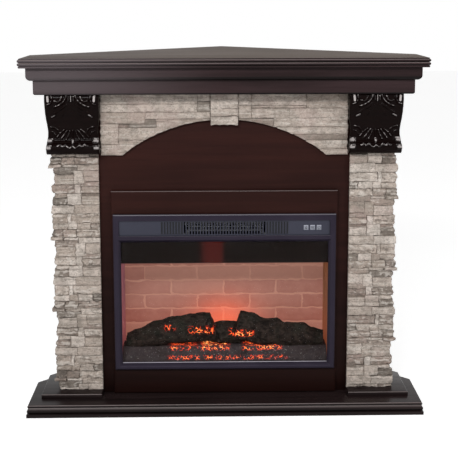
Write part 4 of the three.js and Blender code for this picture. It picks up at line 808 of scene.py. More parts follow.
STONE_REAR = CARCASS - 0.1
MORTAR_TONE = 0.24


def stone_relief(x, z, seed, rough):
    """Height of a split face in millimetres: beds of stone, chips and grain, and its swell."""
    wander = ripple(x * 0.035, z * 0.03, seed) * 4.0 + ripple(x * 0.15, z * 0.1, seed + 2.0) * 1.4
    bed = math.floor((z + wander) / (4.0 + 4.0 * hash01(seed, 1.0)))
    reach = ripple(x * 0.05, bed * 1.7, seed + 9.0)
    step = (hash01(bed, seed) - 0.5) * 2.0 + (0.9 if reach > 0.12 else -0.5 if reach < -0.25 else 0.0)
    chips = ripple(x * 0.11, z * 0.16, seed + 7.0)
    grain = ripple(x * 0.35, z * 0.42, seed + 3.0)
    return (rough * (step * 0.95 + chips * 1.5 + grain * 0.9),
            ripple(x * 0.035, z * 0.05, seed + 11.0) * 1.5)


def stone_place(lo, hi, seed, rough, mirror=1.0, foot=None, outer=0.0):
    """The place of each corner of a stone's cells: rounded arrises, uneven ends and a split face.

    foot(x) is the height of the arch under a stone, outer the reach of an outer end."""
    size = hi - lo
    arris = min(1.8, 0.3 * size.z)
    waver = 3.0 if mirror < 0 else 0.0

    def place(cell):
        x = lo.x + size.x * cell.x
        low = max(lo.z, foot(x)) if foot else lo.z
        z = low + (hi.z - low) * cell.z
        depth = lo.y + size.y * cell.y
        edge = 0.0
        for gap in (x - lo.x, hi.x - x, z - low, hi.z - z):
            if gap < arris:
                share = 1 - gap / arris
                edge = max(edge, arris * (1 - math.sqrt(max(0.0, 1 - share * share))))
        split, swell = stone_relief(x, z, seed, rough)
        depth += (1.0 - cell.y) * max(edge - 1.5 - split - swell, -3.4)
        # The joints waver alike for the stones on both sides of a joint.
        aside = ripple(x * 0.05, depth * 0.03, z * 0.09 + waver) * 3.0
        up = ripple(x * 0.055 + 40, depth * 0.05, z * 0.05 + waver) * 2.6
        up += ripple(x * 0.17 + 40, depth * 0.1, z * 0.14 + waver) * 0.9
        held = 1.0 if foot else max(0.0, min(1.0, (x - INNER) / 6))
        lean = min(1.0, (hi.z - z) / 4) * min(1.0, (z - low) / 4) if foot else 1.0
        if outer and cell.x > 0.5:
            reach = ripple(z * 0.09, depth * 0.06, seed + 31.0) * 4.2
            reach += ripple(z * 0.3, depth * 0.2, seed + 37.0) * 1.8
            reach -= max(0.0, 4.0 - min(z - low, hi.z - z)) * 0.5
            x += (cell.x - 0.5) * 2 * (reach + outer)
        return at(mirror * (x + held * aside), depth, z + up * lean), split - edge * 0.6
    return place


def add_stone(bm, lo, hi, tone, cell, seed, rough, **options):
    """Adds one rough stone between two corners, in millimetres."""
    lo, hi = Vector(lo), Vector(hi)
    size = hi - lo
    counts = [max(2, round(size.x / cell)), max(2, round(size.y / (cell * 2.2))),
              max(3, round(size.z / cell))]
    add_to(bm, cell_block(counts, stone_place(lo, hi, seed, rough, **options)), tone)


def add_mortar(bm, mirror, x, y, z):
    """Adds an uneven mortar bed to a column, between lows and highs in millimetres."""
    def place(c):
        uneven = (1 - c.y) * ripple(x[0] + c.x * 9, c.z * 60, 2.0) * 0.6
        return at(mirror * (x[0] + (x[1] - x[0]) * c.x), y[0] + (y[1] - y[0]) * c.y + uneven,
                  z[0] + 0.2 + (z[1] - z[0] - 0.4) * c.z)
    add_to(bm, cell_block((24, 2, 90), place), MORTAR_TONE)


class FIREPLACE_OT_column_stones(bpy.types.Operator):
    """Cast ledge stones of both columns, each a rough block over the mortar bed"""
    bl_idname = "fireplace.column_stones"
    bl_label = "Column stones"

    def execute(self, context):
        for side, mirror in SIDES:
            self.column(context.scene.fireplace_stone, side, mirror)
        return {"FINISHED"}

    def column(self, stone, side, mirror):
        cell, gap = stone.cell / MM, stone.gap / MM / 2
        bm = toned()
        _, (_, rear), (bottom, top) = box_mm(f"column_stone_{side}")
        add_mortar(bm, mirror, (INNER + 0.4, TURN), (MORTAR_FACE, CARCASS - 0.05), (bottom, top))
        add_mortar(bm, mirror, (TURN + 0.3, TURN + 4), (104.0, rear - 1), (bottom, top))
        level = top + (PANEL * 0.45 if mirror < 0 else 0.0)
        course = 0
        while level > bottom:
            for i, (x0, x1, above, below, proud, tone, rough) in enumerate(PANEL_STONES):
                z0, z1 = max(level - below, bottom), min(level - above, top)
                if z1 - z0 <= 3:
                    continue
                seed = i * 1.37 + course * 0.31 + (5.0 if mirror < 0 else 0.0)
                corner = x1 > 100
                end = TURN + x1 - 122 if corner else INNER + x1 - gap
                start = INNER + x0 + (gap if x0 else 0.3)
                face = CARCASS - 7 - proud
                tone += (hash01(i, course, mirror) - 0.5) * 0.44
                outer = (hash01(i, 3.3) - 0.35) * 2.0 if corner else 0.0
                add_stone(bm, (start, face, z0 + gap), (end, STONE_REAR, z1 - gap), tone, cell,
                          seed, rough * stone.rough / MM / 1.6, mirror=mirror, outer=outer)
                if corner:
                    add_stone(bm, (TURN + 0.25, face + 6, z0 + gap), (end - 1.2, rear, z1 - gap),
                              tone, cell * 1.4, seed + 2, rough * 0.6, mirror=mirror, outer=outer)
            level -= PANEL
            course += 1
        piece(f"ledge_stones_{side}", bm, "stone", [f"column_stone_{side}"], smooth=50)


# Long thin stones of the header: [outer share, inner share, top, bottom, proud, tone, roughness],
# the ends as shares of its half width, top and bottom measured down from the frieze.
HEADER_STONES = {
    "left": [
        (1.0, 0.219, 0, 30, 3.0, 0.62, 0.5), (1.0, 0.219, 30, 53, 1.8, 0.66, 0.6),
        (0.219, 0.0, 0, 23, 2.0, 0.72, 0.4), (0.219, 0.0, 23, 55, 1.0, 0.20, 0.5),
        (1.0, 0.639, 53, 85, 1.5, 0.60, 0.8), (0.639, 0.0, 53, 72, 3.5, 0.68, 0.5),
        (0.773, 0.549, 72, 96, 0.5, 0.24, 0.5), (0.549, 0.0, 72, 98, 2.5, 0.58, 0.7),
        (1.0, 0.855, 85, 142, 3.0, 0.70, 0.6), (0.855, 0.0, 96, 130, 2.0, 0.55, 0.9),
        (1.0, 0.0, 142, 173, 1.0, 0.66, 0.8), (0.855, 0.0, 130, 142, 1.4, 0.48, 1.0)],
    "right": [
        (1.0, 0.662, 0, 43, 2.0, 0.58, 0.8), (0.662, 0.219, 0, 35, 3.0, 0.64, 0.5),
        (0.219, 0.0, 0, 35, 2.4, 0.78, 0.4), (0.219, 0.0, 35, 71, 1.5, 0.60, 0.6),
        (1.0, 0.219, 43, 70, 3.5, 0.70, 0.5), (0.662, 0.219, 35, 43, 1.0, 0.50, 0.8),
        (1.0, 0.4, 70, 95.4, 2.0, 0.55, 0.9), (0.4, 0.0, 71, 100, 1.0, 0.30, 0.6),
        (1.0, 0.0, 95.4, 115, 3.0, 0.66, 0.5), (1.0, 0.0, 115, 132, 1.8, 0.26, 0.6),
        (1.0, 0.0, 132, 157, 1.5, 0.70, 0.6), (1.0, 0.0, 157, 173, 2.5, 0.60, 0.8)],
}
HEADER_HALF = 342.7
KEY_HALF = 38.5  # half the keystone's width, with its joint
ARCH_SPAN, ARCH_RISE, ARCH_CROWN = 283.6, 99.0, 826.0
ARCH_RADIUS = (ARCH_SPAN ** 2 + ARCH_RISE ** 2) / (2 * ARCH_RISE)


def arch(x):
    """Height of the header's underside, in millimetres."""
    if abs(x) >= ARCH_SPAN:
        return HEADER_FOOT
    return ARCH_CROWN - ARCH_RADIUS + math.sqrt(max(ARCH_RADIUS ** 2 - x * x, 0.0))


class FIREPLACE_OT_header_stones(bpy.types.Operator):
    """Thin stones of the arched header and the three courses of its keystone"""
    bl_idname = "fireplace.header_stones"
    bl_label = "Header stones"

    def execute(self, context):
        stone = context.scene.fireplace_stone
        cell, gap = stone.cell / MM, stone.gap / MM / 2
        for side, mirror in SIDES:
            bm = toned()

            def mortar(c):
                x = KEY_HALF + (HEADER_HALF - 38.7) * c.x
                low = max(HEADER_FOOT + 0.2, arch(x) + 0.4)
                return at(mirror * x, MORTAR_FACE + 4.4 * c.y,
                          low * (1 - c.z) + (HEADER_TOP - 0.4) * c.z)

            add_to(bm, cell_block((80, 1, 2), mortar), MORTAR_TONE)
            for i, (outer, inner, above, below, proud, tone, rough) in enumerate(
                    HEADER_STONES[side]):
                z0, z1 = HEADER_TOP - below, HEADER_TOP - above
                start = max(inner * HEADER_HALF + gap, KEY_HALF + 0.1)
                end = outer * HEADER_HALF - (gap if outer < 1 else 0.2)
                while arch(start) > z1 - 3.0 and start < end:
                    start += 1.0
                if end - start < 6:
                    continue
                add_stone(bm, (start, 97 - proud, z0 + gap), (end, STONE_REAR, z1 - gap),
                          tone - 0.04 + (hash01(i, mirror) - 0.5) * 0.24, cell, i * 2.17 + mirror,
                          rough * 0.75, mirror=mirror, foot=lambda x: arch(x) + 0.2)
            piece(f"header_ledge_{side}", bm, "stone", [f"header_stone_{side}"],
                  smooth=50)
        bm = toned()
        for i, (z0, z1, proud, tone) in enumerate((
                (812, 835, 0.0, 0.70), (835, 857, 2.0, 0.62), (857, 900, 0.5, 0.68))):
            add_stone(bm, (-37.8, 89.8 + proud, z0 + 0.4), (37.8, STONE_REAR, z1 - 0.4), tone,
                      cell, 40 + i, 0.6)
        piece("keystone_courses", bm, "stone", ["keystone"], smooth=50)
        return {"FINISHED"}


# ---- mantel: corbels

CORBEL_FOOT, CORBEL_HEIGHT, CORBEL_WIDTH, CORBEL_DEPTH = 734.0, 166.0, 147.0, 62.0
# The corbel's side profile: [share of its height, share of its depth].
CORBEL_PROFILE = [
    (0, 0.66), (0.03, 0.78), (0.06, 0.845), (0.1, 0.87), (0.14, 0.85), (0.17, 0.79), (0.2, 0.68),
    (0.23, 0.61), (0.27, 0.575), (0.36, 0.575), (0.48, 0.635), (0.6, 0.735), (0.72, 0.855),
    (0.82, 0.95), (0.9, 0.995), (0.94, 0.99), (0.975, 0.97), (1, 0.955),
]
# Carved ridges of the leaf, for x > 0 and mirrored: points (x, height in mm), half width and rise.
CORBEL_RIDGES = [
    ([(12, 163), (15, 154), (21, 145), (33, 137), (47, 132)], 3.2, 5.0),
    ([(25, 160), (28, 151), (36, 146), (45, 149)], 3.0, 4.0), ([(46, 109), (56, 104)], 2.6, 5.9),
    ([(63, 161), (62, 149)], 5.0, 7.2), ([(53, 162), (52, 150), (57, 141), (66, 138)], 3.2, 4.4),
    ([(0, 162), (0, 148)], 2.6, 6.2), ([(6.5, 161), (7, 150)], 2.2, 5.7),
    ([(13, 139), (26, 129), (41, 119), (57, 108)], 3.4, 2.6), ([(5, 136), (16, 120), (30, 106)], 3.0, 1.3),
    ([(62, 76), (51, 74), (43, 67), (39, 57)], 3.2, 3.8), ([(64, 64), (56, 61), (51, 53)], 2.8, 3.2),
    ([(8, 64), (12, 52), (19, 41)], 3.0, 4.4), ([(15, 66), (24, 55), (33, 43)], 3.2, 4.6),
    ([(24, 68), (36, 59), (46, 47)], 3.0, 3.8), ([(0, 66), (0, 48)], 2.4, 3.2),
    ([(0, 24), (7, 19), (14, 22), (20, 28), (27, 23), (34, 28), (42, 25)], 3.0, 4.8),
]


def eased(share):
    return share * share * (3 - 2 * share)


def corbel_reach(t):
    """Reach of the corbel's face from the carcass, in millimetres, at the share t of its height."""
    for (t0, r0), (t1, r1) in zip(CORBEL_PROFILE, CORBEL_PROFILE[1:]):
        if t <= t1:
            return CORBEL_DEPTH * (r0 + (r1 - r0) * eased((t - t0) / (t1 - t0)))
    return CORBEL_DEPTH * CORBEL_PROFILE[-1][1]


def distance_to(points, x, z):
    """Distance from a point to a line through points."""
    best = math.inf
    for (x0, z0), (x1, z1) in zip(points, points[1:]):
        dx, dz = x1 - x0, z1 - z0
        share = min(1.0, max(0.0, ((x - x0) * dx + (z - z0) * dz) / (dx * dx + dz * dz)))
        best = min(best, math.hypot(x - x0 - share * dx, z - z0 - share * dz))
    return best


def corbel_relief(x, z):
    """Height of the carving over the corbel's face, in millimetres: ridges, a bead and two rolls."""
    x = abs(x)
    relief = 0.0
    for points, width, rise in CORBEL_RIDGES:
        away = distance_to(points, x, z) / width
        if away < 1.0:
            relief = max(relief, rise * math.sqrt(1 - away * away))
    bead = math.hypot(x / 4.8, (z - 37) / 8.0)
    relief = max(relief, 6.5 * math.sqrt(max(0.0, 1 - bead * bead)))
    for middle in (20.0, 38.5):
        roll = max(0.0, 1 - ((z - middle) / 8.0) ** 2)
        relief = max(relief, 6.2 * math.sqrt(roll) / (1 + math.exp(-(x - 57) / 0.9)))
    return relief


class FIREPLACE_OT_corbels(bpy.types.Operator):
    """Carved scroll corbels with their leaf, ribs, bead and lower roll"""
    bl_idname = "fireplace.corbels"
    bl_label = "Corbels"

    def execute(self, context):
        for side, mirror in SIDES:
            middle = mirror * (INNER - 7 + CORBEL_WIDTH / 2)
            bm = bmesh.new()
            bmesh.ops.create_grid(bm, x_segments=130, y_segments=146, size=0.5)
            layer = bm.verts.layers.float.new("relief")
            for vert in bm.verts:
                u, t = vert.co.x * 2, vert.co.y + 0.5
                half = CORBEL_WIDTH / 2 - 5.0 * math.exp(-((t - 0.36) / 0.2) ** 2)
                edge = max(0.0, abs(u) - 0.955) / 0.045
                vert[layer] = corbel_relief(u * CORBEL_WIDTH / 2, t * CORBEL_HEIGHT)
                reach = corbel_reach(t) - 5.0 + vert[layer]
                reach = min(reach, CORBEL_DEPTH - 0.1) - 4.5 * edge * edge
                vert.co = at(middle + u * half, CARCASS - reach, CORBEL_FOOT + CORBEL_HEIGHT * t)
            close_to(bm, 1, at(0, CARCASS, 0).y, layer)
            piece(f"corbel_carving_{side}", bm, "corbel", [f"corbel_{side}"],
                  smooth=60)
        return {"FINISHED"}


# ---- mantel: flat wood


class FIREPLACE_OT_joinery(bpy.types.Operator):
    """Materials of the boards, the deck, the rails and the post"""
    bl_idname = "fireplace.joinery"
    bl_label = "Joinery"

    def execute(self, context):
        dress("frieze_soffit", "wood_x")
        dress("column_carcass_left column_carcass_right", "wood_z")
        softened("fascia_panel", "wood_panel", 0.0008)
        softened("surround_panel", "wood_panel", 0.0016)
        softened("plinth_block_left", "wood_base", 0.0025)
        softened("plinth_block_right", "wood_base", 0.0025)
        dress("insert_deck deck_cleat_left deck_cleat_right rear_rail_left rear_rail_right rear_post",
              "bare_wood")
        return {"FINISHED"}


# ---- insert: front


class FIREPLACE_OT_insert_front(bpy.types.Operator):
    """Frame, glass, outlet strip with its screws, and the marked buttons"""
    bl_idname = "fireplace.insert_front"
    bl_label = "Insert front"

    def execute(self, context):
        softened("insert_bezel", "graphite", 0.0009)
        dress("outlet_grille", "strip")
        dress("glass_pane", "glass")
        dress("flame_button heat_button power_button", "button")
        dress("button_board ember_light_strip", "board")
        self.marks()
        self.screws()
        self.bead()
        return {"FINISHED"}

    def marks(self):
        """Raised generic marks on the caps: a flame, three waves of heat and a switch ring."""
        outer = [(0.2, 4.2), (2.6, 0.4), (2.4, -2.6), (0, -4), (-2.4, -2.6), (-2.6, -0.4),
                 (-0.8, 1.6), (0.2, 4.2)]
        inner = [(0.1, 0.2), (0.9, -1.6), (0, -2.6), (-0.9, -1.6), (0.1, 0.2)]
        waves = [[(x + 0.8 * math.sin(k * 0.9), -3.6 + k * 0.9) for k in range(9)]
                 for x in (-2.8, 0.0, 2.8)]
        for name, lines in (
                ("flame", [(outer, 0.55), (inner, 0.45)]),
                ("heat", [(wave, 0.5) for wave in waves]),
                ("power", [(arc(0, -0.4, 3.4, 125, 415, 22), 0.5), ([(0, 0.2), (0, 4.2)], 0.5)])):
            lo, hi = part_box(f"{name}_button")
            middle = Vector(((lo.x + hi.x) / 2, lo.y, (lo.z + hi.z) / 2))
            bm = bmesh.new()
            for points, half in lines:
                self.ribbon(bm, middle, points, half)
            piece(f"{name}_mark", bm, "mark", body=f"{name}_button")

    def ribbon(self, bm, middle, points, half):
        """A flat raised line through points, standing 0.15 mm off the cap."""
        rise, sink = 0.15, 0.25
        for (x0, z0), (x1, z1) in zip(points, points[1:]):
            along = Vector((x1 - x0, 0, z1 - z0))
            turn = Matrix.Rotation(-math.atan2(along.z, along.x), 4, "Y")
            scale = Matrix.Diagonal(
                ((along.length + half * 0.9) * MM, (rise + sink) * MM, 2 * half * MM, 1))
            spot = middle + Vector(((x0 + x1) / 2, (sink - rise) / 2, (z0 + z1) / 2)) * MM
            bmesh.ops.create_cube(bm, size=1.0, matrix=Matrix.Translation(spot) @ turn @ scale)

    def bead(self):
        """The thin bright bead that holds the pane along the window's lower edge; its pale paint is a
        painted highlight along that edge.
        """
        lo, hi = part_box("glass_pane")
        lap = 0.005  # of the pane behind the frame
        size = Vector((hi.x - lo.x - 2 * lap, 0.0022, 0.0019))
        spot = Vector(((lo.x + hi.x) / 2, lo.y - size.y / 2 - 0.0001, lo.z + lap + size.z / 2))
        bm = bmesh.new()
        bmesh.ops.create_cube(
            bm, size=1.0, matrix=Matrix.Translation(spot) @ Matrix.Diagonal((*size, 1)))
        bmesh.ops.bevel(bm, geom=list(bm.edges), offset=0.0005, segments=2, profile=0.5,
                        affect="EDGES", material=-1)
        piece("glazing_bead", bm, "bead")

    def screws(self):
        """Two bright screw heads behind the slots."""
        lo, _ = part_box("outlet_grille")
        bm = bmesh.new()
        for x in (-0.1135, 0.1135):
            spot = Matrix.Translation((x, lo.y + 0.0105, lo.z + 0.0165))
            bmesh.ops.create_cone(bm, cap_ends=True, segments=20, radius1=0.0024, radius2=0.0017,
                                  depth=0.0016, matrix=spot @ Matrix.Rotation(math.pi / 2, 4, "X"))
        piece("grille_screws", bm, "aluminium")


# ---- insert: firebox

COURSE, BRICK, JOINT = 43.0, 155.0, 3.2


def add_bricks(bm, u, v, slip_place):
    """Half-bond slips over a rectangle; slip_place(u0, u1, v0, v1, seed) places a slip's corners."""
    row, bottom = 0, v[0]
    while bottom < v[1]:
        shift = BRICK / 2 if row % 2 else 0.0
        top = min(bottom + COURSE - JOINT, v[1])
        start = math.floor((u[0] - shift) / BRICK) * BRICK + shift
        while start < u[1]:
            u0, u1 = max(start, u[0]), min(start + BRICK - JOINT, u[1])
            if u1 - u0 > JOINT and top - bottom > JOINT:
                seed = row * 3.7 + start * 0.013
                counts, place = slip_place(u0, u1, bottom, top, seed)
                add_to(bm, cell_block(counts, place), 0.15 + 0.8 * hash01(seed, 2.0))
            start += BRICK
        bottom += COURSE
        row += 1


class FIREPLACE_OT_bricks(bpy.types.Operator):
    """Brick-faced screen and side liners of the firebox"""
    bl_idname = "fireplace.bricks"
    bl_label = "Bricks"

    def execute(self, context):
        x, (front, rear), z = box_mm("brick_screen")
        bm = toned()
        self.slab(bm, x, (front + 1.4, rear), z)

        def slip(u0, u1, v0, v1, seed):
            lo, hi = Vector((u0, front + 1.3, v0)), Vector((u1, rear - 1.4, v1))
            return (max(2, int((u1 - u0) / 6)), 2, 8), stone_place(lo, hi, seed, 0.28)
        add_bricks(bm, x, z, slip)
        piece("brick_wall_rear", bm, "brick", ["brick_screen"], smooth=50)
        for side, mirror in SIDES:
            self.cheek(side, mirror)
        return {"FINISHED"}

    def cheek(self, side, mirror):
        """A side liner; its slips face inwards."""
        x, y, z = box_mm(f"brick_liner_{side}")
        inner, outer = sorted(abs(value) for value in x)
        bm = toned()
        self.slab(bm, (mirror * (inner + 1.4), mirror * outer), y, z)

        def slip(u0, u1, v0, v1, seed):
            def place(cell):
                depth, height = u0 + (u1 - u0) * cell.y, v0 + (v1 - v0) * cell.z
                edge = min(depth - u0, u1 - depth, height - v0, v1 - height)
                proud = 0.9 * min(1.0, edge / 2.0) + 0.25 * ripple(depth * 0.1, height * 0.1, seed)
                out = inner + 1.6 - (1 - cell.x) * proud + cell.x * 1.6
                return at(mirror * out, depth, height)
            return (1, max(2, int((u1 - u0) / 6)), 8), place
        add_bricks(bm, y, z, slip)
        piece(f"brick_cheek_{side}", bm, "brick", [f"brick_liner_{side}"], smooth=50)

    def slab(self, bm, *spans):
        """The mortar bed behind the slips, between the spans of x, depth and height."""
        add_to(bm, cell_block((1, 1, 1), lambda cell: at(
            *(low + (high - low) * share for (low, high), share in zip(spans, cell)))), 0.0)


# Stations of the logs: x as a share of the casing's half width, then the axis behind LOG_LINE, the
# axis above the bed, the radius and the lean as shares of LOG_RADIUS. Each log also has its seed.
LOGS = {
    "left": ([(-0.947, 0, 0.3, 0.65, 0.05), (-0.85, 0, 0.43, 0.82, 0.08),
              (-0.683, -0.05, 0.78, 1, 0.1), (-0.5, 0, 1.02, 1.05, 0.08),
              (-0.317, 0.05, 1.22, 1.1, 0.05), (-0.183, 0.05, 1.3, 1.12, -0.2),
              (-0.1, 0.05, 1.3, 1.08, -0.35)], 0.4),
    "right": ([(0.118, 0.05, 1.42, 1.1, 0.3), (0.22, 0.05, 1.24, 1.1, 0.2),
               (0.38, 0, 0.92, 1.05, 0.08), (0.49, 0, 0.98, 1.04, 0.05),
               (0.583, -0.05, 0.72, 0.98, 0.05), (0.76, 0, 0.65, 0.95, 0.05),
               (0.84, 0, 0.38, 0.84, 0.05), (0.947, 0, 0.33, 0.68, 0.05)], 2.1),
    "middle": ([(-0.125, 0.3, 0.74, 0.78, 0), (-0.03, 0.25, 0.80, 0.88, 0),
                (0.09, 0.25, 0.79, 0.88, 0), (0.165, 0.3, 0.72, 0.8, 0)], 1.2),
}
CASING_HALF = 300.0
LOG_RADIUS = 40.0
LOG_LINE = 92.4 + 56
BED_TOP = 164.5


class FIREPLACE_OT_logs(bpy.types.Operator):
    """Three charred logs with split bark and broken ends"""
    bl_idname = "fireplace.logs"
    bl_label = "Logs"

    def execute(self, context):
        for label, (stations, seed) in LOGS.items():
            sides, steps = (72, 110) if label != "middle" else (56, 26)
            bm = bmesh.new()
            bmesh.ops.create_cone(bm, cap_ends=True, segments=sides, radius1=1.0, radius2=1.0,
                                  depth=1.0)
            uprights = [edge for edge in bm.edges
                        if abs(edge.verts[0].co.z - edge.verts[1].co.z) > 0.5]
            bmesh.ops.subdivide_edges(bm, edges=uprights, cuts=steps, use_grid_fill=True)
            caps = [face for face in bm.faces if len(face.verts) == sides]
            for inset in (0.25, 0.35, 0.4):
                bmesh.ops.inset_region(bm, faces=caps, thickness=inset, use_even_offset=False)
            for vert in bm.verts:
                vert.co = self.bark(vert.co, stations, seed)
            bmesh.ops.bisect_plane(bm, geom=bm.verts[:] + bm.edges[:] + bm.faces[:],
                                   plane_co=at(0, 0, BED_TOP + 0.1), plane_no=(0, 0, 1),
                                   clear_inner=True)
            bmesh.ops.holes_fill(bm, edges=rim_of(bm))
            piece(f"charred_log_{label}", bm, "log", [f"log_{label}"], smooth=55)
        return {"FINISHED"}

    def bark(self, co, stations, seed):
        """The place of a point of the straight bar on the bent, split log."""
        s = (co.z + 0.5) * (len(stations) - 1)
        i = min(int(s), len(stations) - 2)
        here, there, share = stations[i], stations[i + 1], s - i
        _, y, up, radius, lean = (
            LOG_RADIUS * (a + (b - a) * eased(share)) for a, b in zip(here, there))
        x = CASING_HALF * (here[0] + (there[0] - here[0]) * share)
        angle = math.atan2(co.y, co.x)
        cos, sin = math.cos(angle), math.sin(angle)
        out = min(1.0, math.hypot(co.x, co.y))
        ridge = abs(ripple(x * 0.02 + seed, cos * 4.5, sin * 4.5)) * 2
        split = ripple(x * 0.012, cos * 1.7 + seed, sin * 1.7)
        fine = ripple(x * 0.09, cos * 9, sin * 9 + seed)
        r = radius * (0.97 + 0.11 * split - 0.10 * ridge + 0.035 * fine) * out
        if abs(co.z) > 0.499:
            x += 3.0 * ripple(cos * 3 * out, sin * 3 * out, seed)
        return at(x + lean * sin * out, LOG_LINE + y + 0.82 * r * cos, BED_TOP + up + r * sin)


class FIREPLACE_OT_ember_bed(bpy.types.Operator):
    """The moulded bed of ash and coals that glows from below, and the hood over it"""
    bl_idname = "fireplace.ember_bed"
    bl_label = "Ember bed"

    def execute(self, context):
        lo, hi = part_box("ember_bed")
        size = hi - lo
        bm = bmesh.new()
        bmesh.ops.create_grid(bm, x_segments=300, y_segments=52, size=0.5)
        for vert in bm.verts:
            x, y = lo.x + size.x * (vert.co.x + 0.5), lo.y + size.y * (vert.co.y + 0.5)
            vert.co = Vector((x, y, self.surface(x / MM, (y - lo.y) / MM) * MM))
        close_to(bm, 2, lo.z)
        piece("ember_coals", bm, "ember", ["ember_bed"], smooth=55)
        dress("firebox_hood", "hood")
        return {"FINISHED"}

    def surface(self, x, back):
        """Height of the bed in millimetres: a slope up to the logs with coals along two rows."""
        rise = 131.5 + 32.5 * min(1.0, back / 22.0)
        middle = 1.0 / (1 + math.exp((abs(x) - 175) / 12))
        for row, width in ((4.0, 3.0), (18.0, 3.5)):
            spot = ripple(x * 0.12, row, 3.0) * 1.5
            rise += math.exp(-((back - row - spot) / width) ** 2) * 2.2 * middle
        lumps = 1.8 * ripple(x * 0.13, back * 0.16, 1.0) + 1.1 * ripple(x * 0.37, back * 0.4, 5.0)
        return min(rise + lumps * (1.0 if back < 30 else 0.2), 164.4 if back > 24 else 167.0)


# ---- insert: works and casing


class FIREPLACE_OT_works(bpy.types.Operator):
    """Materials of the casing, the flame spindle, the blower, the heater and the boards"""
    bl_idname = "fireplace.works"
    bl_label = "Works"

    def execute(self, context):
        dress("firebox_casing rear_cover blower_housing", "liner_black")
        dress("cord_gland blower_motor", "plastic")
        dress("flame_spindle blower_wheel", "aluminium")
        dress("heating_element", "ceramic")
        dress("spindle_bracket spindle_motor mounting_bracket_left mounting_bracket_right", "zinc")
        dress("control_board", "board")
        self.screws()
        return {"FINISHED"}

    def screws(self):
        """Pan-head screws round the rear cover."""
        lo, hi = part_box("rear_cover")
        bm = bmesh.new()
        inset = 0.008
        left, right, foot, top = lo.x + inset, hi.x - inset, lo.z + inset, hi.z - inset
        spots = [(x, z) for x in (left, 0.0, right) for z in (foot, top)]
        for x, z in spots + [(x, (lo.z + hi.z) / 2) for x in (left, right)]:
            self.pan_head(bm, Vector((x, hi.y, z)))
        piece("cover_screws", bm, "zinc")

    def pan_head(self, bm, spot):
        """A domed head with a round recess, facing the rear."""
        radius, rise, sides = 0.0036, 0.0022, 24
        turn = Matrix.Translation(spot) @ Matrix.Rotation(-math.pi / 2, 4, "X")
        made = bmesh.ops.create_cone(
            bm, cap_ends=True, segments=sides, radius1=radius, radius2=radius * 0.62, depth=rise,
            matrix=turn @ Matrix.Translation((0, 0, rise / 2)))
        faces = {face for vert in made["verts"] for face in vert.link_faces}
        top = [face for face in faces
               if len(face.verts) == sides and face.calc_center_median().y > spot.y + rise / 2]
        bmesh.ops.inset_region(bm, faces=top, thickness=radius * 0.3, depth=-0.0004)


# ---- stage


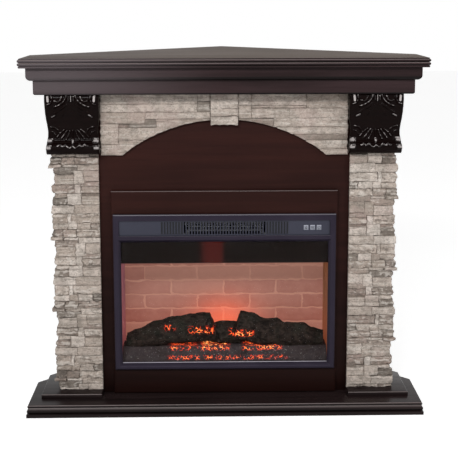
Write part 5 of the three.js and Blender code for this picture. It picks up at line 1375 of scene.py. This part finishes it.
class FIREPLACE_OT_stage(bpy.types.Operator):
    """Pale floor, even room light, two lights and the camera"""
    bl_idname = "fireplace.stage"
    bl_label = "Stage"

    def execute(self, context):
        scene = context.scene
        stage = scene.fireplace_stage
        scene.view_settings.view_transform = "Standard"
        self.floor(scene)
        self.world(scene, stage.world)
        self.lamp(scene, "Front light", (-0.9, -3.4, 2.5), (0, 0, 0.6), 2.4, 0.3, stage.key)
        self.lamp(scene, "Side light", (2.6, -2.2, 2.0), (0, 0, 0.5), 0.5, 1.2, stage.key * 0.3)
        self.camera(scene, stage)
        return {"FINISHED"}

    def floor(self, scene):
        bm = bmesh.new()
        bmesh.ops.create_grid(bm, x_segments=1, y_segments=1, size=14.0)
        data = bpy.data.meshes.new("studio_floor")
        bm.to_mesh(data)
        bm.free()
        s = material("Studio floor", 0.9, Specular_IOR_Level=0.1)
        tone = s.noise(s.place(), 3.0, 2, 0.5)
        s.feed(Base_Color=s.mix(tone, (0.86, 0.86, 0.86), (0.89, 0.89, 0.89)))
        light = s.node("Emission", Color=(1, 1, 1), Strength=s.times(s.seen(), 0.56)).outputs[0]
        data.materials.append(
            s.surface(s.node("AddShader", i0=s.principled.outputs[0], i1=light)))
        made = bpy.data.objects.new("studio_floor", data)
        scene.collection.objects.link(made)

    def world(self, scene, strength):
        world = bpy.data.worlds.new("Studio")
        world.use_nodes = True
        scene.world = world
        s = Shader(world.node_tree)
        level = s.range(s.seen(), 0.0, 1.0, strength, 1.0, kind="LINEAR")
        s.fill(world.node_tree.nodes["Background"].inputs, {"Color": (1, 1, 1), "Strength": level})

    def lamp(self, scene, name, spot, target, width, height, power):
        data = bpy.data.lights.new(name, "AREA")
        data.shape, data.size, data.size_y, data.energy = "RECTANGLE", width, height, power
        made = bpy.data.objects.new(name, data)
        made.location = spot
        aim = Vector(target) - Vector(spot)
        made.rotation_euler = aim.to_track_quat("-Z", "Y").to_euler()
        scene.collection.objects.link(made)

    def camera(self, scene, stage):
        data = bpy.data.cameras.new("Camera")
        data.sensor_width, data.lens, data.shift_y = 36.0, stage.lens, stage.shift
        data.clip_end = 60.0
        made = bpy.data.objects.new("Camera", data)
        tilt, yaw, roll = math.radians(9.21), math.radians(1.09), math.radians(0.11)
        made.location = at(-43.4, -2900.0, 1159.1)
        made.rotation_euler = (math.pi / 2 - tilt, roll, -yaw)
        scene.collection.objects.link(made)
        scene.camera = made


# ---- panel and registration

STEPS = (
    FIREPLACE_OT_stage, FIREPLACE_OT_joinery, FIREPLACE_OT_mouldings, FIREPLACE_OT_column_stones,
    FIREPLACE_OT_header_stones, FIREPLACE_OT_corbels, FIREPLACE_OT_insert_front,
    FIREPLACE_OT_bricks, FIREPLACE_OT_logs, FIREPLACE_OT_ember_bed, FIREPLACE_OT_works,
)
SETTINGS = {
    "fireplace_wood": FireplaceWood, "fireplace_stone": FireplaceStone,
    "fireplace_fire": FireplaceFire, "fireplace_stage": FireplaceStage,
}


class FIREPLACE_PT_panel(bpy.types.Panel):
    """Lists the fireplace's steps and settings in the sidebar"""
    bl_idname = "FIREPLACE_PT_panel"
    bl_label = "Corner fireplace"
    bl_space_type = "VIEW_3D"
    bl_region_type = "UI"
    bl_category = "Fireplace"

    def draw(self, context):
        for step in STEPS:
            self.layout.operator(step.bl_idname, text=step.bl_label)
        for name, settings in SETTINGS.items():
            box = self.layout.box()
            for label in settings.__annotations__:
                box.prop(getattr(context.scene, name), label)


CLASSES = (*SETTINGS.values(), *STEPS, FIREPLACE_PT_panel)


def register():
    for made in CLASSES:
        bpy.utils.register_class(made)
    for name, settings in SETTINGS.items():
        setattr(bpy.types.Scene, name, bpy.props.PointerProperty(type=settings))


def unregister():
    for name in SETTINGS:
        delattr(bpy.types.Scene, name)
    for made in reversed(CLASSES):
        bpy.utils.unregister_class(made)


def main():
    register()
    for step in STEPS:
        group_name, call = step.bl_idname.split(".")
        getattr(getattr(bpy.ops, group_name), call)()


if __name__ == "__main__":
    main()
